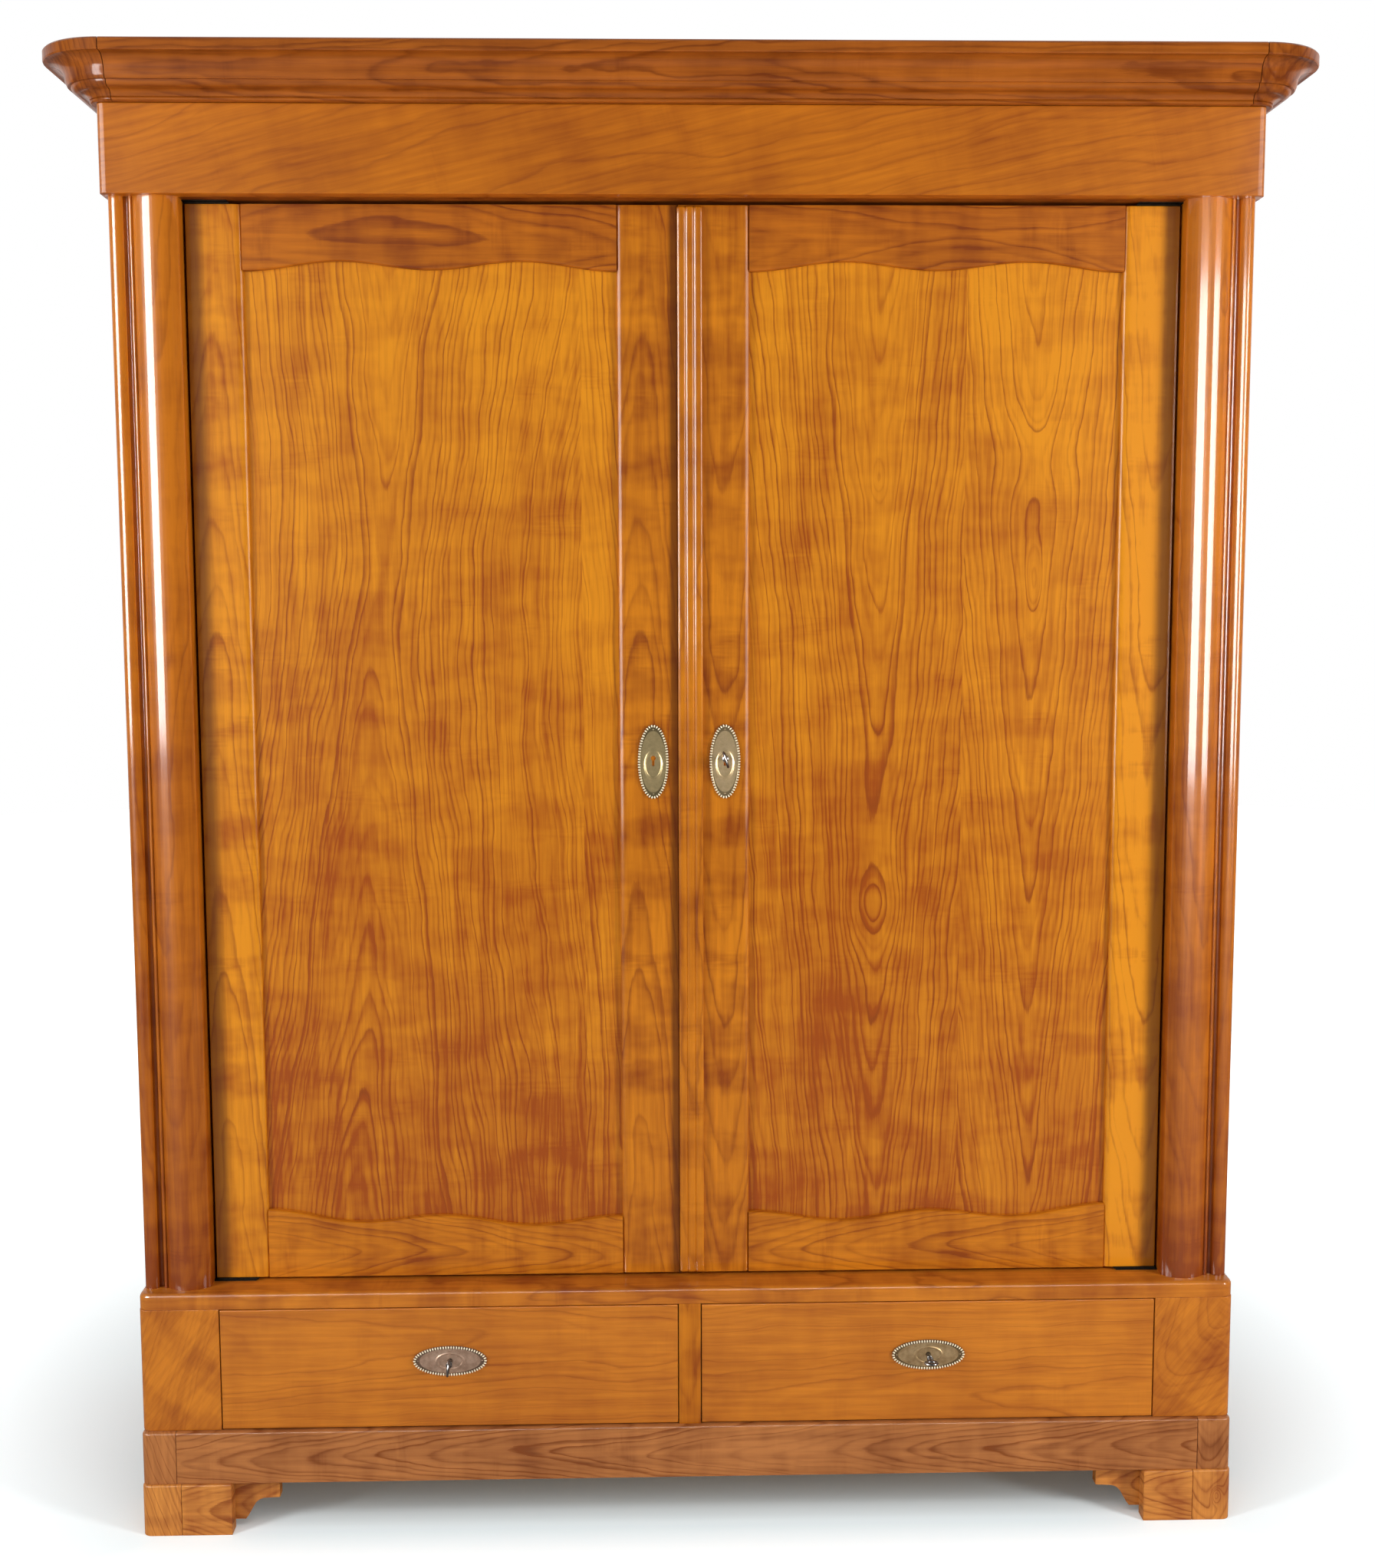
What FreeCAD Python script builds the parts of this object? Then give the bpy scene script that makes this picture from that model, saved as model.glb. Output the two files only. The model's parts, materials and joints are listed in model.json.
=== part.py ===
import FreeCAD, Part
import math
import os
from FreeCAD import Vector

# Two-door wardrobe with two drawers, in millimetres. +Z is up, the front faces -Y, and the
# origin lies on the floor at the centre of the whole outline.

# Case: widths are across the front, and a depth that is "proud" is forward of the doors' face.
body_width = 1554.0
case_depth = 521.0
column_width = 93.5
foot_height = 75.0
plinth_height = 76.0
drawer_opening_height = 178.0
ledge_thickness = 23.0
door_opening_height = 1516.0
frieze_height = 117.0
cornice_height = 65.0
column_edge_proud = 22.0
column_crest_proud = 38.0
frieze_proud = 46.0
ledge_proud = 52.0
plinth_proud = 60.0
foot_proud = 64.0
frieze_overhang = 6.0
ledge_overhang = 4.0
plinth_overhang = 4.0
foot_overhang = 4.5

# Feet and plinth
foot_width = 127.0
foot_post_width = 56.0
foot_board_thickness = 25.0
foot_corner_radius = 12.0
foot_chamfer = 3.0
rear_foot_width = 60.0
bracket_reach = 64.0
bracket_thickness = 18.0
bracket_tip = 13.0
bracket_heel = 10.0
bracket_lap = 40.0
plinth_board_thickness = 25.0
plinth_post_width = 49.0
plinth_corner_radius = 12.0
plinth_chamfer = 4.5

# Drawer case
base_post_width = 113.0
base_post_depth = 70.0
base_post_radius = 13.0
base_side_thickness = 20.0
base_side_inset = 10.0
base_back_thickness = 10.0
floor_thickness = 20.0
divider_width = 31.0
divider_stile_depth = 30.0
partition_thickness = 18.0
runner_width = 34.0
runner_height = 9.0
guide_width = 24.0
guide_height = 46.0
ledge_corner_radius = 16.0
ledge_edge_radius = 6.5

# Corner columns: a broad hollow-backed swell, a valley, and a bead that turns the corner.
column_depth = 97.0
column_swell_width = 62.0
column_valley_proud = 24.0
column_bead_radius = 15.0
column_bead_start = 160.0
column_bead_end = -70.0

# Sides, back and inside of the upper case
side_frame_thickness = 24.0
side_rear_stile_width = 70.0
side_rail_height = 90.0
side_panel_thickness = 10.0
side_panel_setback = 7.0
back_board_count = 8
back_board_thickness = 12.0
back_board_joint = 0.6
top_board_thickness = 18.0
head_rail_depth = 71.0
head_rail_thickness = 25.0
stop_lip_height = 11.0
stop_lip_depth = 22.0
stop_lip_inset = 44.0
shelf_drop = 207.0
shelf_thickness = 18.0
shelf_front_setback = 80.0
batten_width = 20.0
rail_radius = 15.0
rail_drop = 60.0
rail_socket_radius = 27.0
rail_socket_depth = 14.0

# Frieze and cornice
frieze_thickness = 26.0
frieze_corner_radius = 10.0
cornice_projection = 70.0
cornice_corner_radius = 24.0

# Doors
door_thickness = 26.0
door_side_gap = 3.5
door_top_gap = 5.0
door_bottom_gap = 4.5
meeting_gap = 2.5
meeting_offset = 10.5
hinge_stile_width = 75.5
left_lock_stile_width = 82.0
right_lock_stile_width = 97.5
strip_width = 32.5
strip_base = 6.0
strip_reed_height = 3.4
strip_end_gap = 1.5
strip_reed_count = 3
middle_reed_share = 1.3
top_rail_height = 88.5
bottom_rail_height = 91.5
top_wave_height = 12.5
top_wave_middle = 2.0
bottom_wave_height = 14.0
bottom_wave_middle = 4.0
left_bottom_fall = 16.0
right_bottom_fall = 6.0
panel_setback = 9.0
panel_thickness = 9.0
groove_depth = 8.0
groove_clearance = 0.3
stile_edge_radius = 5.0
edge_round = 1.5

# Pivots: a leaf and pin on each door end, and a drilled leaf on the case
pivot_inset = 12.0
pivot_back = 6.0
pivot_radius = 4.0
pivot_length = 12.0
pivot_clearance = 0.05
leaf_thickness = 2.0
leaf_length = 60.0
leaf_width = 16.0

# Door bolts and their plates, on the back of the left door
bolt_radius = 4.0
bolt_length = 150.0
bolt_travel = 14.0
bolt_end_setback = 1.0
bolt_setoff = 9.0
bolt_centre_inset = 41.0
bolt_knob_radius = 6.0
bolt_knob_length = 14.0
bolt_plate_width = 30.0
bolt_plate_length = 118.0
bolt_plate_thickness = 3.0
bolt_plate_end = 14.0
bolt_guide_height = 12.0
bolt_guide_wall = 3.0
bolt_clearance = 0.3
bolt_hole_clearance = 1.0

# Locks and keys
lock_case_wall = 2.0
lock_bolt_clearance = 0.3
lock_bolt_overtravel = 2.0
door_lock_height = 748.0
door_lock_case_width = 78.0
door_lock_case_height = 86.0
door_lock_case_depth = 17.0
door_lock_bolt_width = 48.0
door_lock_bolt_height = 20.0
door_lock_bolt_thickness = 7.0
door_lock_travel = 10.0
door_lock_edge_setback = 3.0
keeper_wall = 3.0
drawer_lock_case_width = 66.0
drawer_lock_case_height = 96.0
drawer_lock_case_depth = 13.0
drawer_lock_bolt_width = 22.0
drawer_lock_bolt_height = 26.0
drawer_lock_bolt_thickness = 6.0
drawer_lock_travel = 9.0
drawer_key_height = 99.0
key_offset_x = 53.0
blind_plate_offset_x = 48.0
key_rise = 5.0
key_shank_radius = 3.0
key_reach = 40.0
key_bow_radius = 9.0
key_bow_wire = 2.2
key_bit_reach = 12.0
key_bit_width = 7.0
key_bit_thickness = 2.4
key_collar_radius = 4.6
key_collar_length = 4.0
key_hole_clearance = 0.5
key_stile_clearance = 2.0

# Escutcheons
plate_length = 104.0
plate_width = 43.0
plate_thickness = 1.6
rim_width = 2.6
rim_height = 1.4
ring_length = 38.0
ring_width = 23.0
ring_thickness = 2.2
ring_height = 1.2
keyhole_slot_width = 3.4
keyhole_slot_length = 11.0

# Drawers
drawer_gap = 1.5
drawer_front_thickness = 22.0
drawer_side_thickness = 13.0
drawer_bottom_thickness = 7.0
drawer_bottom_rise = 8.0
drawer_rear_clearance = 41.0
drawer_box_drop = 24.0
drawer_running_gap = 0.3

# How far a cutting solid runs past what it cuts
overrun = 5.0

# Levels and planes that follow from the sizes
plinth_top = foot_height + plinth_height
drawer_top = plinth_top + drawer_opening_height
ledge_top = drawer_top + ledge_thickness
frieze_bottom = ledge_top + door_opening_height
cornice_bottom = frieze_bottom + frieze_height
case_top = cornice_bottom + cornice_height
total_depth = case_depth + frieze_proud + cornice_projection
back_y = total_depth / 2
door_y = back_y - case_depth
door_back_y = door_y + door_thickness
frieze_y = door_y - frieze_proud
ledge_y = door_y - ledge_proud
plinth_y = door_y - plinth_proud
foot_y = door_y - foot_proud
column_x = body_width / 2
jamb_x = column_x - column_width
frieze_x = column_x + frieze_overhang
ledge_x = column_x + ledge_overhang
plinth_x = column_x + plinth_overhang
foot_x = column_x + foot_overhang
column_back_y = door_y - column_edge_proud + column_depth
bead_x = column_x - column_bead_radius
bead_y = door_y - column_crest_proud + column_bead_radius + (column_crest_proud - column_valley_proud) / 4
side_face_x = bead_x + column_bead_radius * math.cos(math.radians(column_bead_end))
side_inner_x = side_face_x - side_frame_thickness
head_back_y = frieze_y + frieze_thickness + head_rail_depth
door_bottom_z = ledge_top + door_bottom_gap
door_top_z = frieze_bottom - door_top_gap
door_outer_x = jamb_x - door_side_gap
pivot_x = door_outer_x - pivot_inset
pivot_y = door_y + pivot_back
left_lock_edge = -meeting_offset - meeting_gap
right_lock_edge = -meeting_offset
panel_front_y = door_y + panel_setback
shelf_z = frieze_bottom - shelf_drop
shelf_front_y = door_y + shelf_front_setback
shelf_back_y = back_y - back_board_thickness
drawer_back_y = ledge_y + drawer_front_thickness
drawer_outer_x = ledge_x - base_post_width
drawer_centre_x = (drawer_outer_x + divider_width / 2) / 2
door_plate_z = ledge_top + door_lock_height
door_key_z = door_plate_z + key_rise
drawer_key_z = plinth_top + drawer_key_height
bolt_x = left_lock_edge - bolt_centre_inset
bolt_y = door_back_y + bolt_setoff


def block(x0, x1, y0, y1, z0, z1):
    return Part.makeBox(x1 - x0, y1 - y0, z1 - z0, Vector(x0, y0, z0))


def mirrored(shape):
    return shape.mirror(Vector(0, 0, 0), Vector(1, 0, 0))


def pair(shape):
    return [shape, mirrored(shape)]


def rod(radius, x, y, z, length, direction):
    return Part.makeCylinder(radius, length, Vector(x, y, z), direction)


def save(name, solids):
    shape = solids[0] if len(solids) == 1 else Part.makeCompound(solids)
    shape.exportStep("parts/%s.step" % name)


def outline(start, steps):
    """A closed face: each step is one point for a line, or two for an arc through the first."""
    edges = []
    here = start
    for step in steps + [(start,)]:
        end = step[-1]
        if (end - here).Length > 0:
            if len(step) == 2:
                edges.append(Part.Arc(here, step[0], end).toShape())
            else:
                edges.append(Part.makeLine(here, end))
        here = end
    return Part.Face(Part.Wire(edges))


def curve_edge(points):
    curve = Part.BSplineCurve()
    curve.interpolate(points)
    return curve.toShape()


def rounded(shape, radius, wanted):
    """Rounds the edges whose bounding box the test picks out."""
    return shape.makeFillet(radius, [e for e in shape.Edges if wanted(e.BoundBox)])


def bevelled(shape, size, wanted):
    return shape.makeChamfer(size, [e for e in shape.Edges if wanted(e.BoundBox)])


def upright_at(x, y, reach):
    """Picks the upright edges that stand at one corner."""
    return lambda b: b.ZLength > reach and abs(b.Center.x - x) < reach and abs(b.Center.y - y) < reach


def front_at(z, y, reach):
    """Picks the level edges at a height that run along the front or round to the sides."""
    return lambda b: b.ZLength < reach and abs(b.Center.z - z) < reach and b.YMin < y + reach


# Feet, brackets and plinth


def foot_post():
    post = block(foot_x - foot_post_width, foot_x, foot_y, foot_y + foot_post_width, 0, foot_height)
    post = rounded(post, foot_corner_radius, upright_at(foot_x, foot_y, foot_chamfer))
    return bevelled(post, foot_chamfer, front_at(foot_height, foot_y, foot_chamfer))


def foot_boards():
    run = foot_width - foot_post_width
    inner_x = foot_x - foot_post_width
    front = block(inner_x - run, inner_x, foot_y, foot_y + foot_board_thickness, 0, foot_height)
    front = bevelled(front, foot_chamfer, front_at(foot_height, foot_y, foot_chamfer))
    side_y = foot_y + foot_post_width
    side = block(foot_x - foot_board_thickness, foot_x, side_y, side_y + run, 0, foot_height)
    return [front, side]


def rear_foot():
    return block(foot_x - rear_foot_width, foot_x, back_y - rear_foot_width, back_y, 0, foot_height)


def foot_bracket():
    inner_x = foot_x - foot_width
    tip_x = inner_x - bracket_reach
    y = foot_y + foot_board_thickness
    low = Vector(inner_x - bracket_heel, y, bracket_heel)
    tip = Vector(tip_x, y, foot_height - bracket_tip)
    hollow = Vector(inner_x - bracket_reach / 3, y, foot_height - bracket_tip - bracket_reach / 4)
    steps = [(Vector(inner_x + bracket_lap, y, 0),), (Vector(inner_x, y, 0),),
             (Vector(inner_x, y, bracket_heel),), (low,), (hollow, tip),
             (Vector(tip_x, y, foot_height),)]
    face = outline(Vector(inner_x + bracket_lap, y, foot_height), steps)
    return face.extrude(Vector(0, bracket_thickness, 0))


def plinth_front():
    half = plinth_x - plinth_post_width
    board = block(-half, half, plinth_y, plinth_y + plinth_board_thickness, foot_height, plinth_top)
    return bevelled(board, plinth_chamfer, front_at(plinth_top, plinth_y, edge_round))


def plinth_post():
    inner_x = plinth_x - plinth_post_width
    post = block(inner_x, plinth_x, plinth_y, plinth_y + plinth_post_width, foot_height, plinth_top)
    post = rounded(post, plinth_corner_radius, upright_at(plinth_x, plinth_y, foot_chamfer))
    return bevelled(post, plinth_chamfer, front_at(plinth_top, plinth_y, foot_chamfer))


def plinth_returns():
    front_y = plinth_y + plinth_post_width
    inner_x = plinth_x - plinth_board_thickness
    side = block(inner_x, plinth_x, front_y, back_y, foot_height, plinth_top)
    rear_y = back_y - plinth_board_thickness
    rear = block(-inner_x, inner_x, rear_y, back_y, foot_height, plinth_top - floor_thickness)
    return pair(side) + [rear]


# Drawer case and waist ledge


def base_floor():
    half = plinth_x - plinth_board_thickness
    notch = plinth_x - plinth_post_width
    front_y = plinth_y + plinth_board_thickness
    floor = block(-half, half, front_y, back_y, plinth_top - floor_thickness, plinth_top)
    post_y = plinth_y + plinth_post_width
    corner = block(notch, half + overrun, front_y - overrun, post_y,
                   plinth_top - floor_thickness - overrun, plinth_top + overrun)
    return floor.cut(corner).cut(mirrored(corner))


def base_post():
    post = block(drawer_outer_x, ledge_x, ledge_y, ledge_y + base_post_depth, plinth_top, drawer_top)
    return rounded(post, base_post_radius, upright_at(ledge_x, ledge_y, base_post_radius))


def base_side():
    outer = ledge_x - base_side_inset
    return block(outer - base_side_thickness, outer, ledge_y + base_post_depth, back_y,
                 plinth_top, drawer_top)


def base_back():
    half = ledge_x - base_side_inset - base_side_thickness
    return block(-half, half, back_y - base_back_thickness, back_y, plinth_top, drawer_top)


def drawer_divider():
    stile_y = ledge_y + divider_stile_depth
    half = divider_width / 2
    stile = block(-half, half, ledge_y, stile_y, plinth_top, drawer_top)
    half = partition_thickness / 2
    partition = block(-half, half, stile_y, back_y - base_back_thickness, plinth_top, drawer_top)
    return stile.fuse(partition).removeSplitter()


def drawer_runners():
    back = back_y - base_back_thickness
    top = plinth_top + runner_height
    front = drawer_back_y + lock_case_wall
    outer = block(drawer_outer_x - runner_width, drawer_outer_x, front, back, plinth_top, top)
    inner_x = partition_thickness / 2
    inner = block(inner_x, inner_x + runner_width, ledge_y + divider_stile_depth, back, plinth_top, top)
    guide = block(drawer_outer_x, drawer_outer_x + guide_width, ledge_y + base_post_depth, back,
                  plinth_top, plinth_top + guide_height)
    return pair(outer) + pair(inner) + pair(guide)


def drawer_bolt_pocket():
    gap = lock_bolt_clearance * 2
    y0 = drawer_back_y + lock_case_wall
    return block(drawer_centre_x - drawer_lock_bolt_width / 2 - gap,
                 drawer_centre_x + drawer_lock_bolt_width / 2 + gap,
                 y0 - gap, y0 + drawer_lock_bolt_thickness + gap,
                 drawer_top - overrun, drawer_top + drawer_lock_travel + lock_bolt_overtravel)


def waist_ledge():
    ledge = block(-ledge_x, ledge_x, ledge_y, back_y, drawer_top, ledge_top)
    corners = lambda b: b.ZLength > ledge_edge_radius and b.Center.y < 0
    ledge = rounded(ledge, ledge_corner_radius, corners)
    top_edges = lambda b: b.ZMin > ledge_top - edge_round and b.YMin < back_y - edge_round
    ledge = rounded(ledge, ledge_edge_radius, top_edges)
    for pocket in pair(drawer_bolt_pocket()):
        ledge = ledge.cut(pocket)
    pin_hole = rod(pivot_radius + pivot_clearance, pivot_x, pivot_y, ledge_top + overrun,
                   overrun + pivot_length, Vector(0, 0, -1))
    ledge = ledge.cut(pin_hole).cut(mirrored(pin_hole))
    bolt_hole = rod(bolt_radius + bolt_hole_clearance, bolt_x, bolt_y, ledge_top + overrun,
                    overrun + bolt_travel, Vector(0, 0, -1))
    return ledge.cut(bolt_hole)


# Upper case


def column_face():
    z = ledge_top
    inner_y = door_y - column_edge_proud
    crest = Vector(jamb_x + column_swell_width / 2, door_y - column_crest_proud, z)
    angle = [math.radians(a) for a in (column_bead_start, (column_bead_start + column_bead_end) / 2,
                                       column_bead_end)]
    bead = [Vector(bead_x + column_bead_radius * math.cos(a), bead_y - column_bead_radius * math.sin(a), z)
            for a in angle]
    valley = Vector(jamb_x + column_swell_width, door_y - column_valley_proud, z)
    steps = [(Vector(jamb_x, inner_y, z),), (crest, valley), (bead[0],), (bead[1], bead[2]),
             (Vector(side_face_x, column_back_y, z),)]
    return outline(Vector(jamb_x, column_back_y, z), steps)


def column():
    return column_face().extrude(Vector(0, 0, door_opening_height))


def side_panel_slot(clearance):
    """The side panel, or with a clearance the groove that it lies in."""
    face = side_face_x - side_panel_setback
    grow = groove_depth + clearance - groove_clearance
    return block(face - side_panel_thickness - clearance, face + clearance,
                 column_back_y, back_y - side_rear_stile_width + grow,
                 ledge_top + side_rail_height - grow, frieze_bottom - side_rail_height + grow)


def side_frame():
    rear_y = back_y - side_rear_stile_width
    top = cornice_bottom - top_board_thickness
    stile = block(side_inner_x, side_face_x, rear_y, back_y, ledge_top, top)
    low = block(side_inner_x, side_face_x, column_back_y, rear_y, ledge_top, ledge_top + side_rail_height)
    high = block(side_inner_x, side_face_x, column_back_y, rear_y, frieze_bottom - side_rail_height, top)
    groove = side_panel_slot(groove_clearance)
    return [piece.cut(groove) for piece in (stile, low, high)]


def back_boards():
    width = 2 * side_inner_x / back_board_count
    front_y = back_y - back_board_thickness
    top = cornice_bottom - top_board_thickness
    boards = []
    for i in range(back_board_count):
        x0 = -side_inner_x + i * width
        boards.append(block(x0, x0 + width - back_board_joint, front_y, back_y, ledge_top, top))
    return boards


def top_board():
    return block(-side_face_x, side_face_x, frieze_y + frieze_thickness, back_y,
                 cornice_bottom - top_board_thickness, cornice_bottom)


def head_rail():
    """A board over the doors with a lip behind them, notched for the bolt and drilled for the pins."""
    rail = block(-side_face_x, side_face_x, frieze_y + frieze_thickness, head_back_y,
                 frieze_bottom, frieze_bottom + head_rail_thickness)
    lip_half = door_outer_x - stop_lip_inset
    lip = block(-lip_half, lip_half, head_back_y - stop_lip_depth, head_back_y,
                frieze_bottom - stop_lip_height, frieze_bottom)
    notch_half = bolt_plate_width / 2 + bolt_hole_clearance
    notch = block(bolt_x - notch_half, bolt_x + notch_half, head_back_y - stop_lip_depth - overrun,
                  head_back_y + overrun, frieze_bottom - stop_lip_height - overrun, frieze_bottom)
    rail = rail.fuse(lip.cut(notch)).removeSplitter()
    pin_hole = rod(pivot_radius + pivot_clearance, pivot_x, pivot_y, frieze_bottom - overrun,
                   overrun + pivot_length, Vector(0, 0, 1))
    bolt_hole = rod(bolt_radius + bolt_hole_clearance, bolt_x, bolt_y, frieze_bottom - overrun,
                    overrun + bolt_travel, Vector(0, 0, 1))
    return rail.cut(pin_hole).cut(mirrored(pin_hole)).cut(bolt_hole)


def hat_shelf():
    shelf = block(-side_inner_x, side_inner_x, shelf_front_y, shelf_back_y,
                  shelf_z, shelf_z + shelf_thickness)
    return rounded(shelf, edge_round, front_at(shelf_z + shelf_thickness, shelf_front_y, edge_round / 2))


def shelf_battens():
    side = block(side_inner_x - batten_width, side_inner_x, shelf_front_y + batten_width, shelf_back_y,
                 shelf_z - batten_width, shelf_z)
    return pair(side)


def rail_end():
    """End of the hanging rail's axis, on the inner face of the side panel."""
    x = side_face_x - side_panel_setback - side_panel_thickness
    return x, (shelf_front_y + shelf_back_y) / 2, shelf_z - rail_drop


def hanging_rail():
    x, y, z = rail_end()
    return rod(rail_radius, -x, y, z, 2 * x, Vector(1, 0, 0))


def rail_socket():
    x, y, z = rail_end()
    ring = rod(rail_socket_radius, x, y, z, rail_socket_depth, Vector(-1, 0, 0))
    return ring.cut(rod(rail_radius, x, y, z, rail_socket_depth, Vector(-1, 0, 0)))


# Frieze and cornice


def frieze_front():
    board = block(-frieze_x, frieze_x, frieze_y, frieze_y + frieze_thickness, frieze_bottom, cornice_bottom)
    corners = lambda b: b.ZLength > frieze_thickness and b.Center.y < frieze_y + edge_round
    return rounded(board, frieze_corner_radius, corners)


def frieze_side():
    """A board planted on the outside of the side frame."""
    return block(side_face_x, frieze_x, frieze_y + frieze_thickness, back_y, frieze_bottom, cornice_bottom)


# The cornice's section, from its foot upward: shares of its projection and of its height.
cornice_section_shares = [
    ((0.140, 0.00),), ((0.172, 0.035), (0.155, 0.07)), ((0.175, 0.08),),
    ((0.225, 0.155), (0.355, 0.195)), ((0.380, 0.195),),
    ((0.470, 0.235), (0.510, 0.320)), ((0.565, 0.320),),
    ((0.602, 0.400), (0.615, 0.490)), ((0.705, 0.680), (0.925, 0.760)), ((0.985, 0.760),),
    ((1.000, 0.785),), ((1.000, 0.965),), ((0.970, 1.000),)]


def cornice_face(place):
    """The section as a face; place turns an overhang and a height into a point."""
    def at(share):
        return place(share[0] * cornice_projection, cornice_bottom + share[1] * cornice_height)
    steps = [tuple(at(share) for share in step) for step in cornice_section_shares]
    steps.append((place(-cornice_corner_radius, case_top),))
    return outline(place(-cornice_corner_radius, cornice_bottom), steps)


def cornice_front():
    half = frieze_x - cornice_corner_radius
    face = cornice_face(lambda out, z: Vector(-half, frieze_y - out, z))
    return face.extrude(Vector(2 * half, 0, 0))


def cornice_side():
    start_y = frieze_y + cornice_corner_radius
    face = cornice_face(lambda out, z: Vector(frieze_x + out, start_y, z))
    return face.extrude(Vector(0, back_y - start_y, 0))


def cornice_corner():
    """The section turned a quarter about the upright axis of the rounded corner."""
    centre = Vector(frieze_x - cornice_corner_radius, frieze_y + cornice_corner_radius, 0)
    face = cornice_face(lambda out, z: Vector(centre.x, frieze_y - out, z))
    return face.revolve(centre, Vector(0, 0, 1), 90)


# Doors. Each is built for the right side of the case, and the left one is mirrored.


def panel_wave(x0, x1, z, hump, middle, fall, sense):
    """Wavy edge between two stiles: two humps and a middle trough, falling from x0 to x1."""
    steps = 24
    points = []
    for i in range(steps + 1):
        s = i / steps
        rise = hump * (1 - math.cos(4 * math.pi * s)) / 2 + middle * (1 - math.cos(2 * math.pi * s)) / 2
        points.append(Vector(x0 + s * (x1 - x0), door_y, z + sense * rise + fall * (1 / 2 - s)))
    return curve_edge(points)


def rail(x0, x1, straight_z, wave):
    a, b = wave.Vertexes[0].Point, wave.Vertexes[-1].Point
    low, high = Vector(x0, door_y, straight_z), Vector(x1, door_y, straight_z)
    edges = [Part.makeLine(low, a), wave, Part.makeLine(b, high), Part.makeLine(high, low)]
    return Part.Face(Part.Wire(edges)).extrude(Vector(0, door_thickness, 0))


def door_rails(x0, x1, fall):
    top_z = door_top_z - top_rail_height
    bottom_z = door_bottom_z + bottom_rail_height
    groove = panel_slot(x0, x1, groove_clearance)
    top = rail(x0, x1, door_top_z, panel_wave(x0, x1, top_z, top_wave_height, top_wave_middle, 0, 1))
    bottom = rail(x0, x1, door_bottom_z,
                  panel_wave(x0, x1, bottom_z, bottom_wave_height, bottom_wave_middle, fall, -1))
    return [top.cut(groove), bottom.cut(groove)]


def panel_slot(x0, x1, clearance):
    """The door panel, or with a clearance the groove that it lies in."""
    grow = groove_depth + clearance - groove_clearance
    top = door_top_z - top_rail_height + top_wave_height + top_wave_middle
    bottom = door_bottom_z + bottom_rail_height - bottom_wave_height - left_bottom_fall / 2
    return block(x0 - grow, x1 + grow, panel_front_y - clearance,
                 panel_front_y + panel_thickness + clearance, bottom - grow, top + grow)


def door_stile(x0, x1, panel_edge):
    """A full-height stile, rounded on the front edge that faces the panel."""
    stile = block(x0, x1, door_y, door_back_y, door_bottom_z, door_top_z)
    near = lambda b: abs(b.Center.x - panel_edge) < edge_round and b.YMax < door_y + edge_round
    return rounded(stile, stile_edge_radius, lambda b: b.ZLength > leaf_length and near(b))


def door_key_hole():
    reach = key_shank_radius + key_stile_clearance
    length = door_thickness + 2 * overrun
    return rod(reach, key_offset_x, door_y - overrun, door_key_z, length, Vector(0, 1, 0))


def pivots():
    """Leaf and pin for the top and the bottom of a right-hand door."""
    half = leaf_width / 2
    top = block(door_outer_x - leaf_length, door_outer_x, pivot_y - half, pivot_y + half,
                door_top_z, door_top_z + leaf_thickness)
    reach = pivot_length - edge_round
    top_pin = rod(pivot_radius, pivot_x, pivot_y, door_top_z, door_top_gap + reach, Vector(0, 0, 1))
    bottom = block(door_outer_x - leaf_length, door_outer_x, pivot_y - half, pivot_y + half,
                   door_bottom_z - leaf_thickness, door_bottom_z)
    bottom_pin = rod(pivot_radius, pivot_x, pivot_y, door_bottom_z, door_bottom_gap + reach,
                     Vector(0, 0, -1))
    return [top.fuse(top_pin).removeSplitter(), bottom.fuse(bottom_pin).removeSplitter()]


def pivot_plates():
    """Drilled leaves on the case, above and below a right-hand door."""
    half = leaf_width / 2
    high = block(jamb_x - leaf_length, jamb_x, pivot_y - half, pivot_y + half,
                 frieze_bottom - leaf_thickness, frieze_bottom)
    low = block(jamb_x - leaf_length, jamb_x, pivot_y - half, pivot_y + half,
                ledge_top, ledge_top + leaf_thickness)
    hole = rod(pivot_radius + pivot_clearance, pivot_x, pivot_y, ledge_top - overrun,
               door_opening_height + 2 * overrun, Vector(0, 0, 1))
    return [high.cut(hole), low.cut(hole)]


def meeting_strip():
    """Reeds side by side on a flat base, the middle one higher, along the right door's free edge."""
    reed = strip_width / strip_reed_count
    z = door_bottom_z + strip_end_gap
    base_y = door_y - strip_base
    x = right_lock_edge
    steps = [(Vector(x, base_y, z),)]
    for i in range(strip_reed_count):
        x0 = x + i * reed
        rise = strip_reed_height * (middle_reed_share if i == strip_reed_count // 2 else 1)
        steps.append((Vector(x0 + reed / 2, base_y - rise, z), Vector(x0 + reed, base_y, z)))
    steps.append((Vector(x + strip_width, door_y, z),))
    face = outline(Vector(x, door_y, z), steps)
    return face.extrude(Vector(0, 0, door_top_z - door_bottom_z - 2 * strip_end_gap))


# Escutcheons, keys and locks


def oval(x, y, z, across, along, thickness):
    """An upright oval plate whose front lies at y and that reaches forward by its thickness."""
    long_half, short_half = max(across, along) / 2, min(across, along) / 2
    ellipse = Part.Ellipse(Vector(0, 0, 0), long_half, short_half)
    face = Part.Face(Part.Wire(ellipse.toShape()))
    face.rotate(Vector(0, 0, 0), Vector(1, 0, 0), 90)
    if along > across:
        face.rotate(Vector(0, 0, 0), Vector(0, 1, 0), 90)
    face.translate(Vector(x, y, z))
    return face.extrude(Vector(0, -thickness, 0))


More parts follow.
